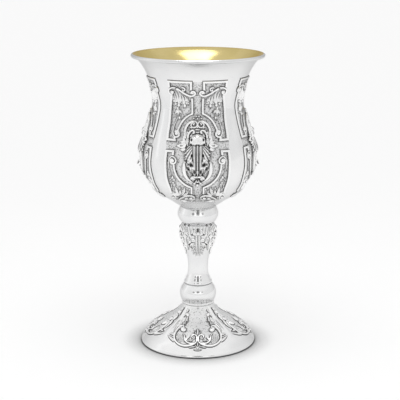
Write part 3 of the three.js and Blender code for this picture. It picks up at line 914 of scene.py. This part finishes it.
# Lines of the mount's left half: section, taper, width, rise, then points.
MOUNT_LINES = (
    (CAST_RIM, Taper.ROUND, 1.75, 1.35, (-7.9, 66.4), (-8.3, 69.4), (-8.2, 72.2), (-7.2, 74.9),
     (-5.5, 77.2), (-3.5, 78.4), (-1.9, 78.4)),
    (CAST_RIM, Taper.LEAF, 2.7, 1.4, (-8.5, 51.4), (-8.9, 48.4), (-8.9, 45.3), (-8.2, 42.5),
     (-6.7, 40), (-4.8, 38.2), (-3, 37.2)),
    (CAST_LEAF, Taper.LEAF, 1.7, 1.2, (-7.2, 62.4), (-6.3, 65.2), (-6.6, 68.4)),
    (CAST_LEAF, Taper.TIPS, 1, 1.3, (-7.4, 66.4), (-7.2, 69.6), (-6, 72.4)),
    (CAST_LEAF, Taper.TIPS, 1.3, 1.5, (-3.4, 70.2), (-3.9, 68.8), (-4.9, 67.6)),
    (CAST_LEAF, Taper.TIPS, 0.9, 0.9, (-7, 72.2), (-7, 70), (-6.8, 67.8)),
    (CAST_LEAF, Taper.TIPS, 1.3, 1.2, (-6.4, 61.6), (-7.1, 64.4), (-7.2, 67.2)),
    (CAST_LEAF, Taper.TIPS, 1.1, 1.2, (-5.6, 60.6), (-6.4, 62.6), (-6.2, 64.8)),
    (CAST_LEAF, Taper.TIPS, 1.3, 1.2, (-0.5, 39.4), (-1, 37.8), (-2.2, 36.8)),
    (CAST_BAND, Taper.ROUND, 0.9, 1, (-0.2, 82.6), (-0.8, 81.8), (-1.6, 81)),
    (CAST_BAND, Taper.TIPS, 0.9, 1.2, (-5.4, 73.6), (-4.2, 74.2), (-3.4, 73.2)),
    (CAST_BAND, Taper.TIP, 2.8, 1.2, (-8.6, 60.8), (-8.8, 64.4), (-9.6, 69)),
    (CAST_BAND, Taper.TIP, 4, 1.3, (-7.8, 61.5), (-10.4, 61.6), (-14, 61.4)),
    (CAST_BAND, Taper.TIP, 2.2, 1.3, (-8.2, 62.6), (-9.8, 64), (-11.9, 64.4)),
    (CAST_BAND, Taper.TIP, 2.2, 1.2, (-7.8, 60.2), (-9.8, 59), (-11.9, 59.1)),
)
# Volutes: width, rise, the spiral they end in, then points.
VOLUTES = (
    (1.15, 1.5, ((-2.5, 76.1), -1, 0.45), (-3.2, 78.7), (-1.4, 78.4), (-0.2, 76.8)),
    (1.5, 1.5, ((-3.1, 70.9), -0.5), (-6.2, 66.4), (-6, 69), (-4.9, 71.2), (-3.3, 72.2), (-2.2, 71.4)),
    (1.1, 1.4, ((-2.8, 39.4), -0.55, 0.5), (-1.2, 41), (-2.5, 41.4), (-4, 40.8), (-4.2, 39.4)),
)
# Roots and tips of the small leaves round the foot of the fan.
SMALL_LEAVES = (
    ((-7.6, 51.2), (-8.3, 49.2)), ((-6.4, 51), (-6.6, 47.6)), ((-5.2, 50.8), (-5.6, 52.6)),
    ((-7.2, 46.8), (-6.2, 44.6)), ((-5.9, 45.6), (-4.6, 43.4)), ((-3, 49.6), (-3.4, 52.4)),
    ((-3.2, 46.6), (-2.9, 43.6)))
# Bars across the mount's middle line: width, rise, then points.
BARS = (
    (1, 1.1, (-1.7, 72.5), (0, 72.9), (1.7, 72.5)), (0.8, 1, (-1.5, 70.7), (0, 70.9), (1.5, 70.7)),
    (1.3, 1.8, (-2.6, 41), (0, 41.3), (2.6, 41)))


def bell(values: Array, middle: Union[float, Array], width: float) -> Array:
    """Returns a smooth hump that is 1 at its middle."""
    return np.exp(-(((values - middle) / width) ** 2))


@dataclass
class Mounts:
    """The four cast openwork mounts, one in the middle of each panel."""

    finishes: Finishes
    wall: TurnedWall
    lowest: float = 0.75
    body_lowest: float = 0.45
    body_thickness: float = 0.8
    body_columns: int = 96
    body_rows: int = 130
    boss_foot: float = 61.8
    boss_scallop: float = 0.5
    lobe: float = 0.07
    fan_from: float = 3.3
    fan_centre: float = 65.3
    fan_depth: float = 0.5
    flute_depth: float = 0.7
    seam_depth: float = 0.5
    ray: float = 0.17
    shade: float = 0.26
    rim_sunk: float = 0.35
    whole: Relief = field(init=False)

    def __post_init__(self) -> None:
        """Draws one whole mount."""
        self.whole = self._half().both().add_all(self._middle()).add_all(self._body())

    def build(self) -> None:
        """Lays a mount on each panel."""
        for side, turn in zip(("front", "right", "back", "left"), QUARTERS):
            mount = self.whole.laid(self.wall, [turn]).piece(f"mount_{side}_cast", self.finishes.cast)
            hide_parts(f"mount_{side}")
            fitted(mount)

    @staticmethod
    def _read(s: Array, column: int) -> Array:
        """Returns the body's height or half width at each station."""
        return np.interp(s, [row[0] for row in MOUNT_BODY], [row[column] for row in MOUNT_BODY])

    def _lift(self, x: Array, s: Array) -> Array:
        """Returns how far the ground of a mount's raised line stands off the bowl."""
        share = np.clip(1 - (np.abs(x) / (self._read(s, 2) + 2.5)) ** 2, 0, 1)
        crest = np.where(s > MOUNT_BODY[-1][0], 0.3, self._read(s, 1))
        return self.lowest + np.maximum(crest - self.lowest - 0.6, 0) * share

    def _body(self) -> Relief:
        """Shapes the fluted fan and the boss over it, pierced beside the flutes, as one casting."""
        rows, columns = self.body_rows, self.body_columns
        v, u = np.meshgrid(np.linspace(0, 1, rows), np.linspace(-1, 1, columns), indexing="ij")
        s = MOUNT_BODY[0][0] + v * (MOUNT_BODY[-1][0] - MOUNT_BODY[0][0])
        x = u * self._read(s, 2) * (1 + self.lobe * np.sin(s * 2.9) * (s < self.boss_foot - 1))
        height, dark = self._grooved(u, np.abs(x), s)
        self._pierced(np.abs(x), s, height, dark)
        height = np.maximum(height, self.body_lowest)
        rim = np.minimum(np.minimum(1 - np.abs(u), 1 - np.abs(2 * v - 1)) * 14, 1)
        height -= self.rim_sunk * (1 - rim)
        dark = np.maximum(dark, (1 - rim) * 0.7)
        back = np.maximum(height - self.body_thickness, 0.12)
        # Painted shade: the back of the body, seen in the gap to the bowl, is dark, darkest under the skirt's
        # lip and under the boss.
        back_painted_shade = 0.35 + 0.65 * np.clip(bell(s, 52, 2.2) + bell(s, 63.5, 2.8), 0, 1)
        points = [np.stack([x, s, level], axis=2).reshape(-1, 3) for level in (height, back)]
        grid = np.arange(rows * columns).reshape(rows, columns)
        edge = np.concatenate([grid[0], grid[1:, -1], grid[-1, -2::-1], grid[-2:0:-1, 0]]).tolist()
        faces = between_rows(rows, columns, False)
        faces += [tuple(i + grid.size for i in face[::-1]) for face in faces]
        faces += [(b, a, a + grid.size, b + grid.size) for a, b in zip(edge, edge[1:] + edge[:1])]
        body = Relief()
        body.add(np.vstack(points), np.concatenate([dark.ravel(), back_painted_shade.ravel()]), faces)
        return body

    def _grooved(self, u: Array, side: Array, s: Array) -> tuple[Array, Array]:
        """Returns the body's height and darkness with its flutes, its rays and the seam of the boss.

        Args:
            u: the share of the half width, from -1 to 1.
            side: the distance from the middle line.
            s: the station.
        """
        height = self.lowest + (self._read(s, 1) - self.lowest) * np.clip(1 - np.abs(u) ** 2.2, 0, 1) ** 0.8
        in_fan = side > self.fan_from
        spread = np.arctan2(side, self.fan_centre - s)
        rays = 0.5 + 0.5 * np.cos(2 * math.pi * spread / self.ray)
        flutes = sum(deep * bell(side, x, wide) for x, wide, deep in FLUTES)
        scallop = self.boss_foot + self.boss_scallop * np.abs(np.cos(math.pi * side / 3.4))
        below = s < scallop
        groove = np.where(below | (side > 4.9), np.where(in_fan, rays, flutes), 0)
        height -= groove * np.where(in_fan, self.fan_depth, self.flute_depth)
        fluted_dark = self.shade + 0.12 * below + groove * np.clip((63 - s) / 10, 0.4, 0.8)
        dark = np.where(in_fan, self.shade - 0.2 + 0.75 * groove, fluted_dark)
        seam = bell(s, scallop, 0.45) * np.clip(5.6 - side, 0, 1)
        height -= self.seam_depth * seam
        return height, np.maximum(dark, seam * 0.8)

    @staticmethod
    def _pierced(side: Array, s: Array, height: Array, dark: Array) -> None:
        """Sinks the holes into the body's height, paints shade into them and raises the bulbs, in place."""
        for x, at, wide, high, deep in HOLES:
            hole = np.exp(-((((side - x) / wide) ** 2 + ((s - at) / high) ** 2) ** 1.5))
            height -= deep * hole
            # Painted shade in the hole.
            np.maximum(dark, np.clip(hole * 1.4, 0, 1), out=dark)
        for x, at, size, high, lighter in BULBS:
            bulb = np.exp(-((((side - x) ** 2 + (s - at) ** 2) / size**2) ** 1.4))
            height += high * bulb
            dark *= 1 - np.clip(bulb * lighter, 0, 1)

    def _half(self) -> Relief:
        """Draws the left half: the bands with their volutes, and the ears."""
        half = Relief(CAST_BAND, CAST_PEARL, self._lift)
        for section, taper, width, rise, *run in MOUNT_LINES:
            half.line(run, width, rise, section, taper)
        for width, rise, spiral, *run in VOLUTES:
            half.line(run, width, rise, curl=spiral)
        for root, tip in SMALL_LEAVES:
            middle = ((root[0] + tip[0]) / 2 - 0.3, (root[1] + tip[1]) / 2)
            half.line([root, middle, tip], 1.2, 1.2, CAST_LEAF, Taper.LEAF)
        half.buttons(((-2.5, 76.2, 0.75, 1.6), (-2.5, 80.4, 0.8, 1.3, 0.8), (-6.3, 70.6, 0.8, 1.2),
                      (-2.9, 39.4, 0.75, 1.6), (-2, 36.3, 0.85, 1.2)))
        half.button((-10.6, 61.6), 0.75, 0.9, SIDE + EYE_TOP, lift=2.2)
        return half

    def _middle(self) -> Relief:
        """Draws what stands on the mount's own middle line."""
        middle = Relief(CAST_BAND, CAST_PEARL, self._lift)
        for width, rise, *run in BARS:
            middle.line(run, width, rise)
        middle.line([(0, 46.2), (0, 44.4), (0, 42.4)], 1.5, 1.4, CAST_LEAF, Taper.TIP, lift=self._spike)
        middle.buttons(((0, 80.2, 0.55, 0.9, 1.4), (0, 74.4, 0.7, 1), (0, 34.9, 0.95, 1.2, 1.2),
                        (0, 37.4, 0.7, 1)))
        return middle

    @staticmethod
    def _spike(x: Array, s: Array) -> Array:
        """Returns the height of the leaf tip that curls off the mount."""
        return 1.2 + np.clip(46.2 - s, 0, 4) * 0.8


# The stem

KNOP_UPPER = ((11.2, 88.6), (13.1, 91), (14.6, 94.8), (14.1, 98), (12.7, 101.2))
KNOP_LOWER = (
    (11, 28.3), (11.6, 29.1), (11.6, 30.1), (12.4, 32.2), (13.2, 35.8), (12.6, 39.4), (10.8, 42.4),
    (10.2, 43.3))
BALUSTER = (
    (9.5, 43.3), (10.2, 44.2), (10.1, 45.2), (9.3, 46.1), (8.8, 47.6), (7.5, 50.8), (7.1, 56),
    (7.6, 61.8), (8.9, 67.2), (10.6, 72.4), (12.2, 77.4), (12.8, 81.6), (12.6, 85.4), (11.2, 88.6))
# Flutes under the upper knop: x, lower end, upper end and width.
STEM_FLUTES = (
    (-1.5, 82.8, 87.9, 1.2), (-3.9, 83.6, 87.9, 1.7), (-6.1, 83, 87.8, 1.5), (-8.2, 82.6, 87.6, 1.5),
    (-9.6, 83.4, 87.4, 1))
# Pearls of the baluster: x, height above the table, radius, rise, and length over width.
STEM_PEARLS = (
    (-3.3, 81.1, 1.25, 1.3, 0.8), (-3.4, 79.2, 1.35, 1.4, 0.8), (-6.6, 79.8, 0.8, 1.1),
    (-8.7, 80.4, 0.75, 1), (-7.6, 82, 0.65, 0.9), (-5.2, 82.2, 0.65, 0.9))
# Leaves of the baluster: width, then x and height above the table.
STEM_LEAVES = (
    (1.4, (-4.2, 78), (-7, 78.2), (-8.6, 76.2)), (1.5, (-4.6, 76.4), (-7, 75.6), (-8, 73)),
    (1.3, (-6.6, 74.4), (-7.3, 72), (-7.2, 69.6)), (1.4, (-2.4, 77), (-3.4, 74.6), (-5.6, 72.2)),
    (1.1, (-5.6, 72.8), (-4.9, 71.4), (-3.4, 71.2)), (1.5, (-2.2, 73.6), (-3.4, 71.2), (-4.6, 69.2)),
    (1.5, (-1.9, 71.2), (-2.9, 69.2), (-3.4, 66.6)), (1.2, (-1.2, 69), (-1.6, 67.4), (-1.5, 65.4)),
    (1.5, (-9.6, 82.2), (-9.9, 79.4), (-9, 76.8)), (1.4, (-9.6, 77.6), (-8.9, 74.6), (-8.2, 71.6)))
# Painted shade of pits between the leaves, each a small raised button coloured dark: x, height above the
# table and radius.
STEM_PAINTED_SHADE_PITS = ((-5.6, 78.2, 0.4), (-6, 74.6, 0.55), (-4, 82.7, 0.35), (-7, 88.1, 0.35), (-4.6, 72.6, 0.3))


@dataclass
class Stem:
    """The two plain knops and the baluster with its leaves."""

    finishes: Finishes
    sides: int = 128
    rows: int = 48
    joint_groove: float = 0.22
    joint_reach: float = 0.7
    joint_dark: float = 0.22
    joint_dark_reach: float = 0.4

    def build(self) -> None:
        """Turns the three pieces and chases the baluster."""
        profiles = {"upper_knop": KNOP_UPPER, "lower_knop": KNOP_LOWER, "baluster": BALUSTER}
        for name, stations in profiles.items():
            piece = self._turned(f"{name}_turned", stations)
            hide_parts(name)
            fitted(piece)
        wall = TurnedWall(BALUSTER)
        relief = self._leaves(wall).laid(wall, QUARTERS)
        fitted(relief.piece("baluster_leaves", self.finishes.leafy))

    def _turned(self, name: str, stations: Sequence[Point]) -> Piece:
        """Spins a knop or the baluster, its ends eased into the joints."""
        s, outer, _ = TurnedWall(stations).sampled(self.rows)
        outer[:, 0] -= self.joint_groove * np.clip(1 - np.minimum(s, s[-1] - s) / self.joint_reach, 0, 1) ** 2
        low, high = stations[0][1], stations[-1][1]
        piece = spun(name, np.vstack([[[0, low]], outer, [[0, high]]]), self.sides)
        piece.data.materials.append(self.finishes.polished)
        z = points_of(piece)[:, 2]
        end = np.minimum(z - low, high - z)
        darkened(piece, np.clip(1 - end / self.joint_dark_reach, 0, 1) * self.joint_dark)
        shaded(piece, 60)
        return piece

    @staticmethod
    def _leaves(wall: TurnedWall) -> Relief:
        """Draws a quarter of the baluster's chasing, given by heights above the table."""
        half = Relief(LEAF, at=lambda x, height: (x, wall.station(height)))
        for x, low, high, width in STEM_FLUTES:
            half.line([(x, high), (x, (low + high) / 2), (x * 0.97, low)], width, 0.8, taper=Taper.DROP)
        half.buttons(STEM_PEARLS)
        half.button((-5.7, 76.9), 0.85, 1.2, stretch=1.5, lean=20)
        half.line([(-3, 76), (-4.2, 75.8), (-5, 74.6)], 1.1, 1, STRAP, curl=((-3.9, 74.2), -0.45))
        half.lines(STEM_LEAVES, 0.9)
        half.line([(-0.9, 82.4), (-1, 77), (-0.9, 71), (-0.3, 66)], 1.5, 1.1, taper=Taper.TIP)
        for x, height, radius in STEM_PAINTED_SHADE_PITS:
            half.button((x, height), radius, 0.85, PAINTED_SHADE_PIT, 1.3)
        whole = half.both()
        # Painted shade of the slot in the middle, as a dark button.
        whole.button((0, 85.4), 0.7, 0.8, PAINTED_SHADE_PIT, 1.9)
        return whole


# The foot

FOOT_STATIONS = (
    (41.2, 0), (41.75, 0.7), (41.6, 1.7), (40.4, 3.4), (37, 7.6), (31.4, 12.4), (24.5, 16.3),
    (18, 20.1), (13, 25.1), (10.6, 28.3))
# Half width of the stippled ground by the distance down from the neck.
FOOT_EDGE = (
    (4.8, 1.5), (6.2, 4.9), (7, 10.3), (8.6, 14), (10.2, 18), (11.4, 20.6), (13.4, 22), (15.6, 23.6),
    (16.8, 26), (17, 29), (15.6, 31.4), (12.6, 33), (8, 34), (3, 34.4))
# Lines of the foot's left half: section, taper, width, rise, the spiral they end in, then x and the
# distance down from the neck.
FOOT_LINES = (
    (FOOT_STRAP, Taper.ROUND, 1.5, 0.9, (), (-11.6, 17.2), (-13.6, 19.5), (-15.3, 21.9), (-16.6, 24.6),
     (-17.3, 27.3), (-17, 30), (-15.3, 32.2), (-13, 33.5), (-10, 34.2), (-6.7, 33.9), (-3.9, 33),
     (-1.7, 31.9)),
    (FOOT_STRAP, Taper.ROUND, 1.1, 1, ((-11.2, 19.4), -0.4), (-13.6, 19.4), (-12.4, 17.8), (-10.8, 17.6)),
    (FOOT_STRAP, Taper.ROUND, 1.1, 0.9, ((-7, 29.6), 0.35), (-0.7, 30.8), (-2, 31.9), (-4.4, 32.2),
     (-7, 31.7), (-8.6, 30.2), (-8, 28.4), (-6.8, 28)),
    (FOOT_STRAP, Taper.TIP, 1.25, 1, ((-2.5, 26.9), 0.75), (-0.8, 31), (-0.4, 28.6), (-0.7, 26.4),
     (-2, 24.9), (-3.6, 25.4)),
    (FOOT_STRAP, Taper.TIPS, 1, 0.8, (), (-11.2, 24.4), (-9.6, 25.8), (-9.2, 28.2), (-9.8, 31.4)),
    (FOOT_LEAF, Taper.TIPS, 1.2, 0.7, (), (-10.6, 14.6), (-13.6, 16.4), (-16.2, 20), (-18.2, 24.6)),
    (FOOT_LEAF, Taper.TIP, 2.3, 0.9, (), (-16.8, 31.6), (-19.6, 30.2), (-23.4, 28.4)),
    (FOOT_LEAF, Taper.TIP, 1.5, 0.8, (), (-16.9, 26.2), (-19, 26.6), (-22, 26.8)),
    (FOOT_LEAF, Taper.TIPS, 0.9, 0.7, (), (-3.4, 29.4), (-5.4, 30.2), (-6.6, 29.6)),
    (FOOT_LEAF, Taper.TIPS, 1.1, 0.8, (), (-1, 34.4), (-3.4, 34.6), (-6.4, 35.4)),
    (FOOT_LEAF, Taper.TIPS, 0.9, 0.8, (), (-0.3, 24.6), (-1.7, 22.8), (-1.5, 20.4)),
)
# Lobes inside the frame: x, upper end and lower end.
FOOT_LOBES = ((-11.5, 25.8, 31.2), (-13.2, 25.6, 31.6), (-14.8, 26.4, 31.2))
# Leaves of the spray under the neck: width, then x and the distance down from the neck.
FOOT_LEAVES = (
    (1.4, (-6.9, 2.6), (-7.7, 4.2), (-8.2, 5.6)), (1.3, (-7.4, 8.4), (-8.2, 11.4), (-9.4, 14)),
    (1.3, (-8.8, 8.6), (-10, 12), (-11.4, 14.6)), (1.2, (-9.8, 9.8), (-11.4, 12.8), (-13, 16.2)),
    (1.2, (-9, 12.6), (-9.4, 15), (-8.6, 16.8)), (1.2, (-10.2, 13.8), (-10.6, 15.8), (-9.8, 17.8)),
    (1, (-7.8, 10.2), (-7.6, 12.4), (-7.2, 13.6)), (1.1, (-12.4, 14.8), (-13.9, 17.4), (-15.2, 19.4)),
    (1, (-8.6, 5.6), (-9.8, 8), (-11, 9.6)))


@dataclass
class Foot:
    """The domed foot: its wall, four fan-shaped panels and the ribs between them."""

    finishes: Finishes
    wall_thickness: float = 1.0
    rest_radius: float = 40.4
    crown_height: float = 26.0
    sides: int = 256
    rows: int = 76
    rest_painted_shadow: float = 0.35
    rest_height: float = 0.8
    rib_rise: float = 0.6
    rib_reach: float = 31.0
    rib_half_width: float = 1.7
    rib_widening: float = 0.062
    bead_rise: float = 0.25
    bead_down: float = 0.9
    bead_half_width: float = 0.5
    wall: TurnedWall = field(default_factory=lambda: TurnedWall(FOOT_STATIONS))

    def build(self) -> None:
        """Builds the foot's pieces."""
        body = self._body()
        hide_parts("foot")
        fitted(body)
        chasing = self._chasing()
        relief = chasing.laid(self.wall, QUARTERS, 0.0)
        fitted(relief.piece("foot_chasing", self.finishes.leafy))
        edge = [self._at(*place) for place in reversed(FOOT_EDGE)]
        ground = Ground("foot_ground", self.wall, edge, 72, 90, 0.28, 1.2)
        fitted(ground.laid(chasing.points, self.finishes.stippled))

    def _at(self, x: float, down: float) -> Point:
        """Returns the place at a distance down the wall from the neck."""
        return x, float(self.wall.s[-1]) - down

    def _body(self) -> Piece:
        """Spins the dome with its flat rest and hollow underside, a contact shadow painted along the rest's
        lowest edge.
        """
        _, outer, out = self.wall.sampled(self.rows)
        inner = (outer - out * self.wall_thickness)[::-1]
        inner = inner[(inner[:, 1] > self.rest_height) & (inner[:, 1] < self.crown_height)]
        crown, neck = [0, inner[0, 1] + 0.3], [0, FOOT_STATIONS[-1][1]]
        rest = [[self.rest_radius - 0.2, 0.3], [self.rest_radius, 0]]
        body = spun("foot_body", np.vstack([[crown], inner, rest, outer, [neck]]), self.sides)
        self._ribbed(body)
        body.data.materials.append(self.finishes.polished)
        # Painted contact shadow along the bottom of the rest.
        darkened(body, np.clip(1 - points_of(body)[:, 2] / self.rest_height, 0, 1) * self.rest_painted_shadow)
        shaded(body, 50)
        return body

    def _ribbed(self, body: Piece) -> None:
        """Raises a soft rib between each two panels and a bead at the neck."""
        wall = self.wall
        points = points_of(body)
        radius, off_rib = round_axis(points)
        along = np.interp(points[:, 2], wall.profile[:, 1], wall.s)
        places, out = wall.read(along)
        down = wall.s[-1] - along
        half_width = self.rib_half_width + self.rib_widening * down
        fade = np.clip(down / 3, 0, 1) * np.clip((self.rib_reach - down) / 6, 0, 1)
        across = np.clip(off_rib * radius / half_width, 0, 1)
        rise = self.rib_rise * np.cos(across * math.pi / 2) ** 2 * fade
        rise += self.bead_rise * bell(down, self.bead_down, self.bead_half_width)
        rise *= (np.abs(radius - places[:, 0]) < 0.15) & (points[:, 2] > 0.5)
        points[:, :2] *= (1 + rise * out[:, 0] / np.maximum(radius, 1))[:, None]
        points[:, 2] += rise * out[:, 1]
        moved(body, points)

    def _chasing(self) -> Relief:
        """Draws one panel of the foot, with the leaves that reach over the ribs beside it."""
        half = Relief(FOOT_LEAF, at=self._at)
        for section, taper, width, rise, spiral, *run in FOOT_LINES:
            half.line(run, width, rise, section, taper, spiral)
        for x, top, low in FOOT_LOBES:
            lobe = [(x + 0.4, top), (x - 0.3, (top + low) / 2), (x + 0.6, low)]
            half.line(lobe, 0.9, 0.6, LEAF, Taper.TIPS)
        half.lines(FOOT_LEAVES, 0.9)
        half.button((-10.6, 20.6), 2.3, 1.2, WIDE_GUTTER + PEARL_TOP)
        half.button((-2.5, 27), 0.75, 1.3)
        half.button((-7.6, 7.2), 1.3, 1.2, stretch=1.2, lean=-30)
        whole = half.both()
        whole.line([(0, 25), (0, 22), (0, 18.8)], 1.5, 0.9, taper=Taper.TIPS)
        whole.line([(0, 31.6), (0, 32.8), (0, 34.4)], 1.3, 0.9, taper=Taper.LEAF)
        whole.line([(-3.2, 36.6), (0, 36.9), (3.2, 36.6)], 0.7, 0.5, FOOT_STRAP, Taper.TIPS)
        whole.button((0, 35.4), 0.9, 1)
        return whole


# The setting

@dataclass(frozen=True)
class Patch:
    """A lighter patch of the room, by azimuth and height: from, to and how soft its edges are."""

    strength: float
    azimuth: tuple[float, float, float]
    height: tuple[float, float, float]


@dataclass(frozen=True)
class Setting:
    """The pale floor, the soft light and the camera."""

    distance: float = 0.7794
    height: float = 0.2913
    pitch: float = 13.45
    azimuth: float = 0.5
    sensor: float = 36.0
    lens: float = 100.5
    shift: float = 0.005
    floor_size: float = 40.0
    shadow_reach: float = 0.018
    shadow_depth: float = 2.6
    base: float = 0.875
    above: float = 0.1
    behind: float = 0.1
    patches: tuple[Patch, ...] = (
        Patch(0.39, (-0.6, 0.6, 0.15), (0.15, 0.5, 0.1)),
        Patch(0.09, (-2.0, -1.1, 0.35), (-0.5, 0.75, 0.3)),
        Patch(0.16, (-1.72, -1.56, 0.12), (-0.5, 0.75, 0.3)),
    )
    dark_spots: Rows = ((0, 0.44, 0.18), (-0.5, 0.37, 0.13), (0.5, 0.39, 0.1))
    spot_light: float = 0.15
    ceiling_power: float = 0.12
    ceiling_angle: float = 100.0
    softbox_size: tuple[float, float] = (0.12, 0.11)
    softbox_place: tuple[float, float, float] = (0.0, -0.04, 0.38)
    softbox_power: float = 0.15

    def build(self) -> None:
        """Sets up the floor, the light and the camera."""
        self._floor()
        self._room()
        self._lamps()
        self._camera()

    def _floor(self) -> None:
        """Lays the floor, with a contact shadow painted into its colour by ambient occlusion close round the
        foot.
        """
        bpy.ops.object.select_all(action="DESELECT")
        bpy.ops.mesh.primitive_plane_add(size=self.floor_size)
        floor = bpy.context.object
        floor.name = "floor"
        made = bpy.data.materials.new("pale_floor")
        made.use_nodes = True
        nodes = Nodes(made.node_tree)
        near = nodes.node("ShaderNodeAmbientOcclusion", {"samples": 12}, {"Distance": self.shadow_reach})
        shade = Value(nodes, near.outputs["AO"]) ** self.shadow_depth
        shader = nodes.node("ShaderNodeBsdfPrincipled", {}, {
            "Base Color": nodes.mixed(shade, (0.02,) * 3, (0.98,) * 3),
            "Roughness": 1.0,
            "Specular IOR Level": 0.0,
        })
        nodes.node("ShaderNodeOutputMaterial", {}, {"Surface": shader.outputs[0]})
        floor.data.materials.append(made)

    def _room(self) -> None:
        """Lights the cup from a soft white room.

        The room is lighter overhead, in front and at the left, and darker low down behind the cup
        and in three spots over the camera.
        """
        world = bpy.data.worlds.new("studio")
        bpy.context.scene.world = world
        world.use_nodes = True
        nodes = Nodes(world.node_tree)
        way = nodes.node("ShaderNodeTexCoord", {}, {}).outputs["Generated"]
        parts = nodes.node("ShaderNodeSeparateXYZ", {}, {0: way}).outputs
        x, y, z = (Value(nodes, parts[k]) for k in range(3))
        from_front = nodes.node("ShaderNodeMath", {"operation": "ARCTAN2"}, {0: x, 1: y * -1})
        azimuth = Value(nodes, from_front.outputs[0])
        strength = self.base + z.ramp(0.5, 0.75) * self.above
        for patch in self.patches:
            strength += azimuth.between(*patch.azimuth) * z.between(*patch.height) * patch.strength
        strength -= y.ramp(0.1, 0.8) * (1 - z.ramp(0.3, 0.6)) * self.behind
        for side, up, size in self.dark_spots:
            reach = (azimuth - side) ** 2.0 + (z - up) ** 2.0
            clear = reach.ramp(0.6 * size**2, 1.4 * size**2)
            strength *= clear * (1 - self.spot_light) + self.spot_light
        light = nodes.node("ShaderNodeBackground", {}, {"Color": (1, 1, 1, 1), "Strength": strength})
        nodes.node("ShaderNodeOutputWorld", {}, {"Surface": light.outputs[0]})

    def _lamps(self) -> None:
        """Hangs a softbox that lights the gilding and a ceiling that the silver doesn't mirror."""
        softbox = bpy.data.lights.new("softbox", "AREA")
        softbox.shape = "RECTANGLE"
        softbox.size, softbox.size_y = self.softbox_size
        softbox.energy = self.softbox_power
        ceiling = bpy.data.lights.new("ceiling", "SUN")
        ceiling.energy = self.ceiling_power
        ceiling.angle = math.radians(self.ceiling_angle)
        for lamp, place in ((softbox, self.softbox_place), (ceiling, (0, 0, 1))):
            hung = bpy.data.objects.new(lamp.name, lamp)
            hung.location = place
            hung.visible_glossy = lamp is softbox
            bpy.context.scene.collection.objects.link(hung)

    def _camera(self) -> None:
        """Puts the camera where the photo was taken from."""
        data = bpy.data.cameras.new("camera")
        camera = bpy.data.objects.new("camera", data)
        bpy.context.scene.collection.objects.link(camera)
        turn = math.radians(self.azimuth)
        camera.location = (self.distance * math.sin(turn), -self.distance * math.cos(turn), self.height)
        camera.rotation_euler = (math.radians(90 - self.pitch), 0, turn)
        data.sensor_width = self.sensor
        data.lens = self.lens
        data.shift_x = self.shift
        bpy.context.scene.camera = camera


def main() -> None:
    """Builds the cup and its setting."""
    logging.basicConfig(level=logging.INFO, format="%(name)s %(message)s")
    bpy.context.scene.view_settings.view_transform = "Standard"
    finishes = Finishes.made()
    Bowl(finishes).build()
    Stem(finishes).build()
    Foot(finishes).build()
    Setting().build()


if __name__ == "__main__":
    main()
